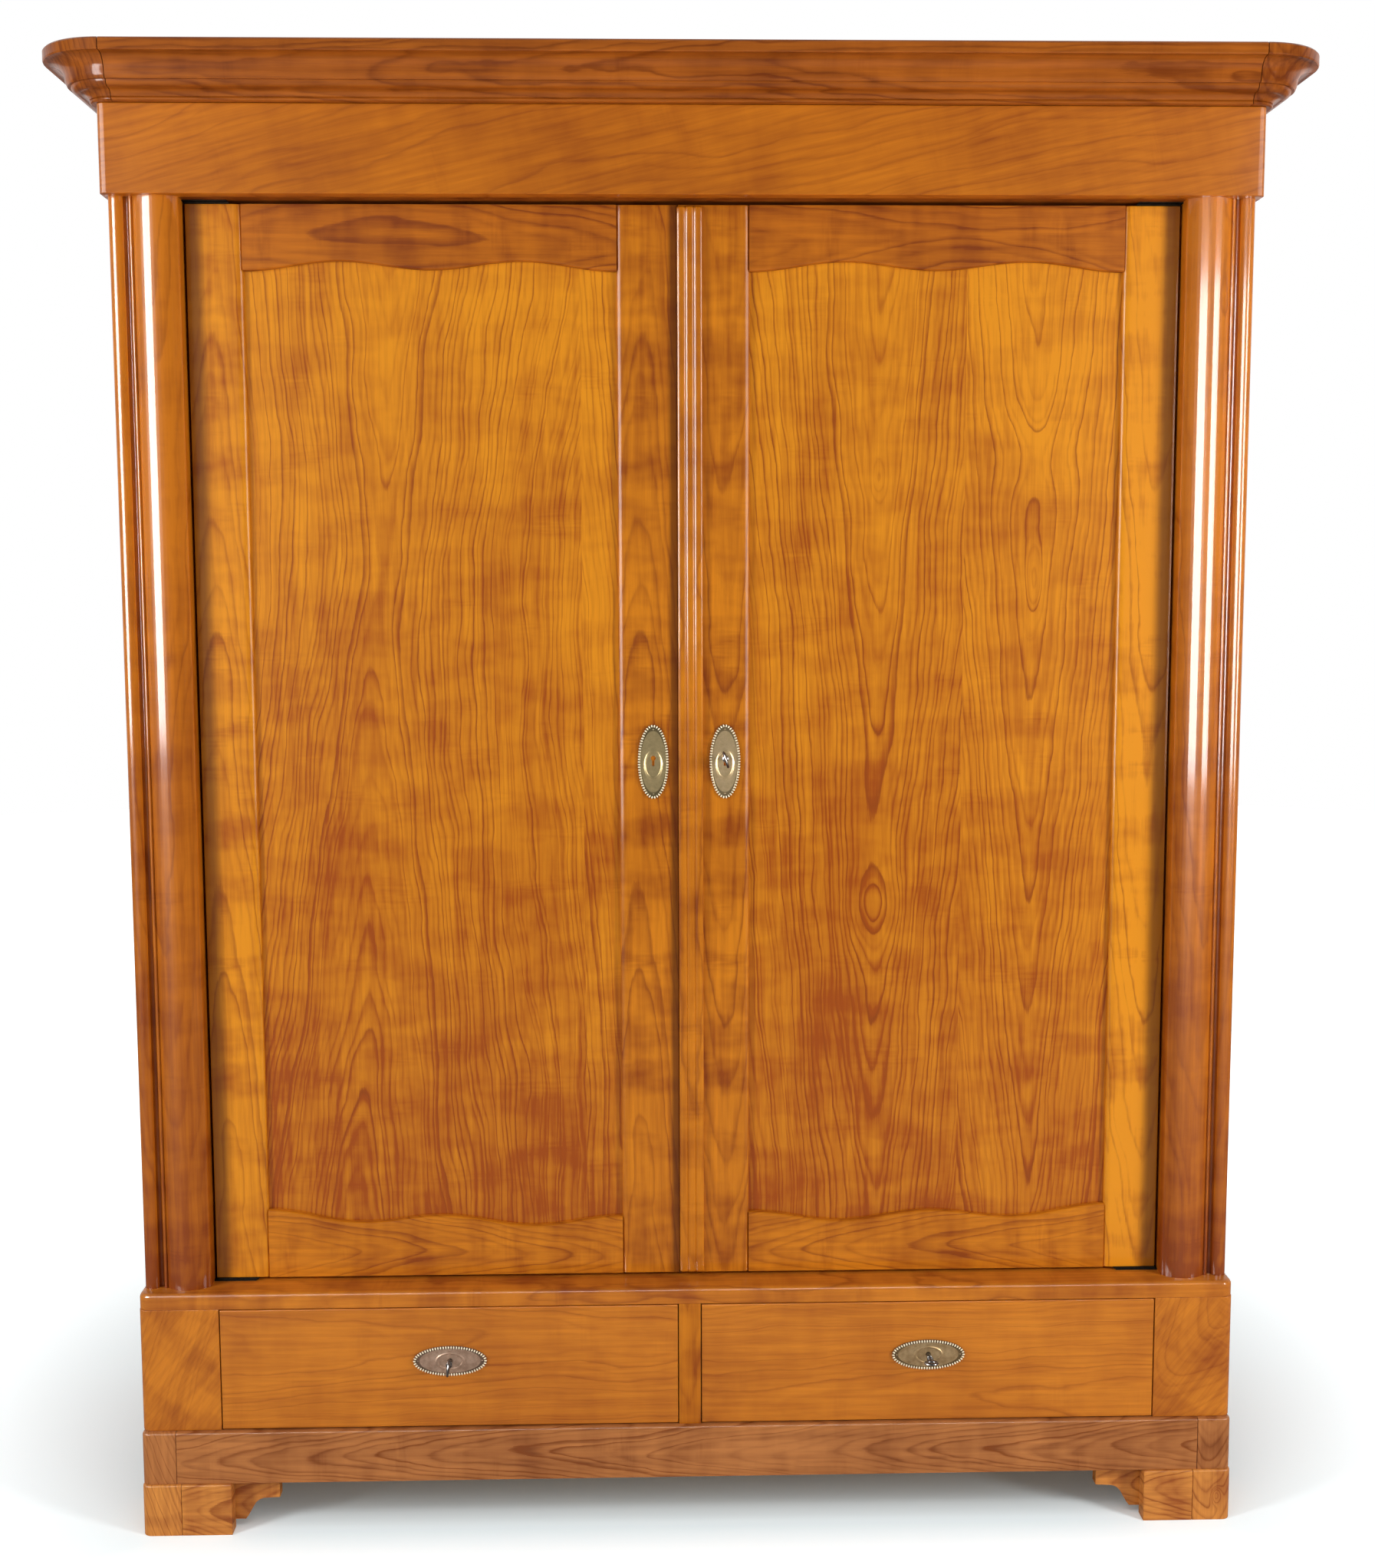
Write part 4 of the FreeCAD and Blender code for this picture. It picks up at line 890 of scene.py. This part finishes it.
def key_plate(centre, half_x, half_z, ring_x, ring_z, ring_drop, hole_z, slot_length):
    """Oval plate as a ring of rings: keyhole edge, inner field, raised ring, domed field and rim,
    then back to the wood. The rim's beads stand at even steps along it."""
    x, face, z = centre
    turn = around(120)
    keyhole = keyhole_edge(turn, hole_z, slot_length)
    rows = [(keyhole, 0.0), (keyhole, 1.5), (keyhole * 1.06, 1.75)]
    for share, height in ((0.86, 1.9), (0.90, 2.4), (0.95, 2.95), (1.0, 3.1), (1.05, 2.9), (1.1, 2.4),
                          (1.15, 2.1)):
        rows.append((oval(ring_x * share, ring_z * share, turn) - (0, ring_drop), height))
    for share in (0.62, 0.74, 0.84, 0.9):
        blend = (share - 0.5) / 0.4
        rows.append((oval(half_x * share, half_z * share, turn)
                     - (0, ring_drop * max(0.0, 1 - 1.6 * blend)), 2.15 - 0.35 * blend))
    for inset, height in ((3.4, 1.7), (3.0, 2.2), (2.2, 2.5), (1.0, 2.4), (0.3, 1.6), (0.0, 0.8), (0.0, 0.0)):
        rows.append((oval(half_x - inset, half_z - inset, turn), height))
    rings = [spots(x + flat[:, 0], face - height, z + flat[:, 1]) for flat, height in rows]
    inset, count = 1.5, 62
    path = oval(half_x - inset, half_z - inset, np.linspace(0, 2 * math.pi, 2000))
    length = np.concatenate([[0], np.cumsum(np.hypot(*np.diff(path, axis=0).T))])
    wanted = np.linspace(0, length[-1], count, endpoint=False)
    points, faces = ball((0, 0, 0), (2.3, 1.7, 1.15))
    beads = []
    for bx, bz in zip(np.interp(wanted, length, path[:, 0]), np.interp(wanted, length, path[:, 1])):
        out = math.atan2(bz / half_z ** 2, bx / half_x ** 2)
        cos, sin = math.cos(out), math.sin(out)
        beads.append((spots(x + bx + points[:, 0] * cos - points[:, 2] * sin, face - 2.4 + points[:, 1],
                            z + bz + points[:, 0] * sin + points[:, 2] * cos), faces))
    pin_x, pin_z = (half_x - 6.5, 0) if half_x > half_z else (0, half_z - 6.5)
    pins = [ball((x + sign * pin_x, face - 1.6, z + sign * pin_z), (1.6, 1.2, 1.6), 6, 14)
            for sign in (-1, 1)]
    return [skin(rings, looped=True)] + beads + pins


class WARDROBE_OT_plates(bpy.types.Operator):
    """Oval key plates with beaded rims"""

    bl_idname = "wardrobe.plates"
    bl_label = "Key plates"

    def execute(self, context):
        for place, tint, dull in (("left_door", (0.60, 0.46, 0.23), (0.43, 0.33, 0.16)),
                                  ("right_door", (0.78, 0.58, 0.33), (0.60, 0.44, 0.23)),
                                  ("left_drawer", (0.64, 0.44, 0.32), (0.44, 0.28, 0.19)),
                                  ("right_drawer", (0.60, 0.42, 0.22), (0.40, 0.26, 0.12))):
            low, high = limits(place + "_escutcheon")
            centre = ((low[0] + high[0]) / 2, high[1], (low[2] + high[2]) / 2)
            half_x, half_z = (high[0] - low[0]) / 2, (high[2] - low[2]) / 2
            forms, polish = (((11.5, 19, 4.5, 5.0, 11.0), 0.36) if place.endswith("door") else
                             ((19, 11.5, 0.5, 0.0, 7.0), 0.42))
            metal = brass(place + "_plate_brass", tint, dull, centre, half_x, half_z, polish)
            put(place + "_key_plate", place + "_escutcheon", metal,
                key_plate(centre, half_x, half_z, *forms), place)
        return {"FINISHED"}


def key_shells(x, face, z, tip_y, tilt, bow_half, bow_wide, bit_turn):
    """Shank with two collars, an oval bow as a closed tube, and a bit, all about the shank."""
    reach, wire = 40.0, 2.6
    bow_y = face - reach + bow_wide
    shank_start = bow_y + bow_wide
    profile = [(0, 2.2), (1.0, 2.7), (3.0, 2.9), (3.6, 4.2), (4.4, 4.6), (5.2, 4.2), (5.8, 3.0),
               (9.0, 2.7), (9.6, 3.7), (10.6, 3.9), (11.4, 3.7), (12, 3.0), (tip_y - shank_start, 3.0)]
    shank = lathe(profile, (x, shank_start, z), "y", 24)
    turn, tube = around(40)[:, None], around(14)[None]
    out = np.cos(tube) * wire
    along = (bow_wide - wire + out) * np.cos(turn)
    side = (bow_half - wire + out) * np.sin(turn)
    thick = 2.0 * np.sin(tube)
    cos, sin = math.cos(tilt), math.sin(tilt)
    bow = spots(x + side * sin + thick * cos, bow_y - along, z + side * cos - thick * sin)
    points, faces = billet((-1.2, tip_y - 7, -12), (1.2, tip_y, 0), "z", (0.4,) * 4, (0.4, 0.4))
    cos, sin = math.cos(bit_turn), math.sin(bit_turn)
    bit = spots(x + points[:, 0] * cos + points[:, 2] * sin, points[:, 1],
                z - points[:, 0] * sin + points[:, 2] * cos)
    return [shank, skin(bow, looped=True), (bit, faces)]


class WARDROBE_OT_keys(bpy.types.Operator):
    """Keys with oval bows"""

    bl_idname = "wardrobe.keys"
    bl_label = "Keys"

    def execute(self, context):
        metal = steel("dark_steel", (0.20, 0.19, 0.18), 0.24)
        for place, plate, tilt, half, wide, bit in (
                ("door", "right_door", math.radians(-17), 12.5, 9.0, 0.0),
                ("left_drawer", "left_drawer", math.radians(6), 11.5, 9.0, 0.0),
                ("right_drawer", "right_drawer", QUARTER, 10.5, 8.0, QUARTER)):
            node = place + "_key"
            joint = next(j for j in frame["joints"] if j["name"] == node + "_turn")
            x, z = joint["pos_m"][0] / MM, joint["pos_m"][2] / MM
            face = limits(plate + "_escutcheon")[1][1]
            put(node + "_with_bow", node, metal,
                key_shells(x, face, z, limits(node)[1][1], tilt, half, wide, bit), node)
        return {"FINISHED"}


class WARDROBE_OT_ironwork(bpy.types.Operator):
    """Turned bolts, hanging rail and sockets, and the finish of locks and pivots"""

    bl_idname = "wardrobe.ironwork"
    bl_label = "Bolts, rail and locks"

    def execute(self, context):
        rubbed = steel("rubbed_steel", (0.46, 0.45, 0.42))
        dull = steel("dull_steel", (0.060, 0.054, 0.048), 0.6)
        # Steel darkened almost to black as painted shade, so the pivots read as the dark gap above the doors.
        gap_shade = steel("hidden_steel", (0.018, 0.014, 0.010), 0.8)
        for end in ("top", "bottom"):
            node = "left_door_%s_bolt" % end
            low, high = limits(node)
            x, y, length = (low[0] + high[0]) / 2, low[1] + 4.0, high[2] - low[2]
            stem = lathe([(0, 3.4), (0.6, 4.0), (length - 0.6, 4.0), (length, 3.4)], (x, y, low[2]), "z")
            knob = lathe([(0, 3.0), (5, 3.2), (8, 5.6), (11, 6.0), (13, 5.2), (high[1] - y, 3.0)],
                         (x, y, high[2] - 72 if end == "top" else low[2] + 72))
            put(node + "_turned", node, rubbed, [stem, knob], node)
        low, high = limits("hanging_rail")
        middle, length = (low + high) / 2, high[0] - low[0]
        rod = lathe([(0, 14.0), (1.0, 15.0), (length - 1, 15.0), (length, 14.0)],
                    (low[0], *middle[1:]), "x", 40)
        plain = wood("rail_wood", "inner", "x", (0, 100, 1590), 20, 0.01, 4, 8, 8, 0.5, 0.4)
        put("hanging_rod", "hanging_rail", plain, [rod])
        socket = lathe([(0, 27), (-8, 27), (-10, 25.5), (-14, 20), (-14, 15.2), (0, 15.2)],
                       (high[0], *middle[1:]), "x", 40, looped=True)
        put("rod_sockets", "rail_sockets", dull, both(socket))
        dress(gap_shade, "pivot_plates", "left_door_pivots", "right_door_pivots")
        dress(dull, "left_door_bolt_plates", "door_lock_case", "left_drawer_lock_case",
              "right_drawer_lock_case")
        dress(rubbed, "door_lock_bolt", "left_drawer_lock_bolt", "right_drawer_lock_bolt")
        return {"FINISHED"}


class WARDROBE_OT_boards(bpy.types.Operator):
    """Grain for the plain boards of the case, outside and in"""

    bl_idname = "wardrobe.boards"
    bl_label = "Plain boards"

    def execute(self, context):
        bare = (60, 0.05, 8, 40, 30, 0.55, 0.3)
        for name, family, grain, at, figure, nodes in (
                ("side_frame", "case", "z", (740, 100, 1100), (50, 0.06, 8, 40, 25, 0.8), ("side_frames",)),
                ("side_panel", "door", "z", (760, 80, 1100), (30, 0.12, 8, 50, 20, 0.9), ("side_panels",)),
                ("side_board", "case", "y", (760, 100, 250), (40, 0.1, 8, 40, 25, 0.9),
                 ("base_sides", "frieze_sides")),
                ("plinth_return", "plinth", "y", (760, 50, 110), (30, 0.1, 7, 30, 15),
                 ("plinth_returns", "rear_feet")),
                ("divider", "door", "z", (0, -200, 240), (30, 0.1, 7, 15, 12, 0.8), ("drawer_divider",)),
                # The head rail takes the dark cornice wood as painted shade: its edge shows as the dark line
                # under the frieze.
                ("head_rail", "cornice", "x", (0, -180, 1880), (40, 0.03, 7, 30, 20), ("head_rail",)),
                ("inner_upright", "inner", "z", (30, 300, 1100), bare, ("back_boards",)),
                ("inner_level", "inner", "x", (0, 60, 1000), bare,
                 ("base_floor", "base_back", "top_board", "hat_shelf")),
                ("inner_deep", "inner", "y", (300, 0, 200), bare,
                 ("drawer_runners", "shelf_battens", "left_drawer_box", "right_drawer_box"))):
            dress(wood(name + "_wood", family, grain, at, *figure), *nodes)
        return {"FINISHED"}


# Floor, light and camera


def lamp(name, place, aim, width, height, energy, receivers=()):
    """An area lamp at a place in metres, facing the aim; with receivers it lights them alone."""
    data = bpy.data.lights.new(name, "AREA")
    data.shape = "RECTANGLE"
    data.size, data.size_y = width, height
    data.energy = energy
    source = add(name, data)
    source.location = place
    source.rotation_mode = "QUATERNION"
    source.rotation_quaternion = (Vector(aim) - Vector(place)).to_track_quat("-Z", "Y")
    source.visible_camera = False
    if receivers:
        source.light_linking.receiver_collection = bpy.data.collections.new(name + "_receivers")
        for piece in receivers:
            source.light_linking.receiver_collection.objects.link(piece)
    return source


class WARDROBE_OT_stage(bpy.types.Operator):
    """Pale floor, soft light and the camera"""

    bl_idname = "wardrobe.stage"
    bl_label = "Stage"

    def execute(self, context):
        look = context.scene.wardrobe_stage
        self.camera(context)
        floor = self.floor(look)
        self.daylight(context, look)
        for name, place, aim, energy in (
                ("key_lamp", (-3.0, -2.15, 1.9), (-0.1, -0.2, 1.1), look.key_power),
                ("fill_lamp", (3.0, -2.25, 1.6), (0.1, -0.2, 1.0), look.fill_power)):
            lamp(name, place, aim, 0.7, 1.6, energy).visible_glossy = False
        lamp("overhead_lamp", (0, -2.2, 3.6), (0, -1.4, 0), 3.4, 2.6, look.overhead_power, [floor])
        shown = [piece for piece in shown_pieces() if not piece.hide_render]
        groups = {"mouldings": [], "strip": [], "glossy": [], "plain": []}
        glossy = ("column", "key", "escutcheon", "waist", "drawer_board")
        for piece in shown:
            kind = ("mouldings" if piece.name.startswith("cornice") else
                    "strip" if piece.name == "reeded_strip" else
                    "glossy" if any(word in piece.name for word in glossy) else "plain")
            groups[kind].append(piece)
        right_column = bpy.data.objects["right_corner_column"]
        groups["right column"] = [right_column]
        groups["left side"] = [p for p in groups["glossy"] if p != right_column and "plate" not in p.name]
        groups["plates"] = [p for p in groups["glossy"] if "column" not in p.name]
        groups["base"] = [p for p in shown if p.name.startswith(
            ("waist", "plinth", "foot", "base_corner", "left_drawer_board", "right_drawer_board"))]
        for name, place, aim, width, height, share, group in (
                ("left_window", (-2.18, -2.03, 1.78), (-0.73, -0.24, 1.78), 1.5, 1.66, 1.0, "left side"),
                ("dim_window", (-2.45, -1.70, 1.60), (-0.73, -0.24, 1.60), 2.6, 1.9, 0.28, "plain"),
                ("dim_right_window", (2.45, -1.70, 1.60), (0.73, -0.24, 1.60), 2.6, 1.9, 0.16, "plain"),
                ("corner_window", (-1.80, -2.00, 1.60), (-0.72, -0.24, 1.6), 0.6, 1.3, 0.45, "mouldings"),
                ("strip_window", (2.10, -1.65, 1.85), (0.0, -0.24, 1.60), 0.4, 1.4, 0.6, "strip"),
                ("strip_left_window", (-2.10, -1.75, 1.85), (0.0, -0.24, 1.60), 1.1, 1.4, 0.8, "strip"),
                ("middle_window", (0.25, -2.25, 1.47), (0.71, -0.24, 1.47), 1.3, 1.2, 1.0, "right column"),
                ("right_window", (2.00, -1.77, 1.47), (0.71, -0.24, 1.47), 0.7, 1.2, 1.0, "right column"),
                ("plate_window", (2.10, -1.65, 1.25), (0.0, -0.24, 1.1), 0.4, 1.2, 0.9, "plates"),
                ("plate_left_window", (-2.10, -1.65, 1.25), (0.0, -0.24, 1.1), 0.4, 1.2, 0.9, "plates"),
                ("high_window", (0, -2.40, 2.15), (0, -0.25, 0.35), 3.0, 0.28, 0.7, "base")):
            energy = look.window_glow * share * width * height * math.pi
            lamp(name, place, aim, width, height, energy, groups[group]).visible_diffuse = False
        return {"FINISHED"}

    def camera(self, context):
        """Camera matched to the photograph: turned right, tipped down and slightly rolled."""
        yaw, pitch, roll = (math.radians(angle) for angle in (1.486, 6.172, -0.163))
        focal_pixels, frame_height, sensor = 2459.8, 2044, 36
        camera = add("camera", bpy.data.cameras.new("camera"))
        camera.data.sensor_width = sensor
        camera.data.lens = focal_pixels * sensor / frame_height
        camera.matrix_world = (Matrix.Translation((-0.0684, -2.8465, 1.3542))
                               @ Matrix.Rotation(-yaw, 4, "Z") @ Matrix.Rotation(QUARTER - pitch, 4, "X")
                               @ Matrix.Rotation(roll, 4, "Z"))
        context.scene.camera = camera

    def floor(self, look):
        """Flat disc whose own light is only for the camera, so the shadow stays. The light grows
        with the distance from the wardrobe, and with the distance in front of it."""
        radius, rim = 9, around(64)
        mesh = bpy.data.meshes.new("floor")
        mesh.from_pydata((radius * spots(np.cos(rim), np.sin(rim), 0)).tolist(), [], [list(range(64))])
        floor = add("floor", mesh)
        finish = Finish("floor_paint", Roughness=0.85, Specular_IOR_Level=0.1)
        paths = finish.node("LightPath").outputs
        seen = Value(finish, paths["Is Camera Ray"])
        shade = finish.blend(seen, (look.floor_bounce,) * 3, look.floor_shade)
        finish.feed(Base_Color=finish.blend(paths["Is Glossy Ray"], shade, (look.floor_mirrored,) * 3))
        x, y = finish.place()[:2]
        away = (x * x + y * y).root() / 1000
        glow = finish.maths("SMOOTH_MIN", away * 0.98 - 0.72, 1.0, 0.3)
        ahead = finish.maths("MINIMUM", 0 - y * 0.002 - 0.48, 0.3)
        glow = finish.maths("MAXIMUM", finish.maths("MAXIMUM", glow, ahead), 0.04)
        light = finish.node("Emission", {"Color": (1, 1, 1), "Strength": seen * glow})
        both_lights = finish.node("AddShader", {0: finish.shader.outputs[0], 1: light.outputs[0]})
        finish.node("OutputMaterial", {"Surface": both_lights.outputs[0]}, is_active_output=True)
        mesh.materials.append(finish.material)
        floor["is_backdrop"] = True
        return floor

    def daylight(self, context, look):
        """Even light for the object. The camera sees white, and the gloss sees a room that is dim
        in front and pale behind."""
        context.scene.world = world = bpy.data.worlds.new("daylight")
        sky = Nodes(world)
        paths = sky.node("LightPath").outputs
        seen = sky.maths("MAXIMUM", paths["Is Camera Ray"], paths["Is Transmission Ray"])
        split = sky.node("SeparateXYZ", {0: sky.node("TexCoord").outputs["Generated"]})
        depth = sky.node("MapRange", {"Value": split.outputs[1], "From Min": -0.2, "From Max": 0.3,
                                      "To Min": 0.16, "To Max": 0.95})
        even, room, wall = (
            sky.node("Background", {"Color": tone, "Strength": strength}).outputs[0]
            for tone, strength in (((1.0, 0.985, 0.96), look.daylight), ((1, 1, 1), depth.outputs[0]),
                                   ((1, 1, 1), 1.0)))
        gloss = sky.node("MixShader", {0: paths["Is Glossy Ray"], 1: even, 2: room})
        final = sky.node("MixShader", {0: seen, 1: gloss.outputs[0], 2: wall})
        sky.node("OutputWorld", {0: final.outputs[0]})
        context.scene.view_settings.view_transform = "Standard"


OPERATORS = (
    WARDROBE_OT_feet, WARDROBE_OT_plinth, WARDROBE_OT_base, WARDROBE_OT_columns, WARDROBE_OT_cornice,
    WARDROBE_OT_doors, WARDROBE_OT_strip, WARDROBE_OT_drawers, WARDROBE_OT_plates, WARDROBE_OT_keys,
    WARDROBE_OT_ironwork, WARDROBE_OT_boards, WARDROBE_OT_stage)
GROUPS = {"wardrobe_joinery": WardrobeJoinery, "wardrobe_woods": WardrobeWoods,
          "wardrobe_stage": WardrobeStage}


class WARDROBE_PT_panel(bpy.types.Panel):
    """Lists the wardrobe's pieces and their settings"""

    bl_label = "Wardrobe"
    bl_idname = "WARDROBE_PT_panel"
    bl_space_type = "VIEW_3D"
    bl_region_type = "UI"
    bl_category = "Wardrobe"

    def draw(self, context):
        for group in GROUPS:
            box = self.layout.box()
            settings = getattr(context.scene, group)
            for name in settings.__annotations__:
                box.prop(settings, name)
        for operator in OPERATORS:
            self.layout.operator(operator.bl_idname)


CLASSES = (*GROUPS.values(), *OPERATORS, WARDROBE_PT_panel)


def register():
    for kind in CLASSES:
        bpy.utils.register_class(kind)
    for name, group in GROUPS.items():
        setattr(bpy.types.Scene, name, PointerProperty(type=group))


def unregister():
    for name in GROUPS:
        delattr(bpy.types.Scene, name)
    for kind in reversed(CLASSES):
        bpy.utils.unregister_class(kind)


def main():
    register()
    for operator in OPERATORS:
        group, name = operator.bl_idname.split(".")
        getattr(getattr(bpy.ops, group), name)()
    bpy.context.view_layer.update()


if __name__ == "__main__":
    main()
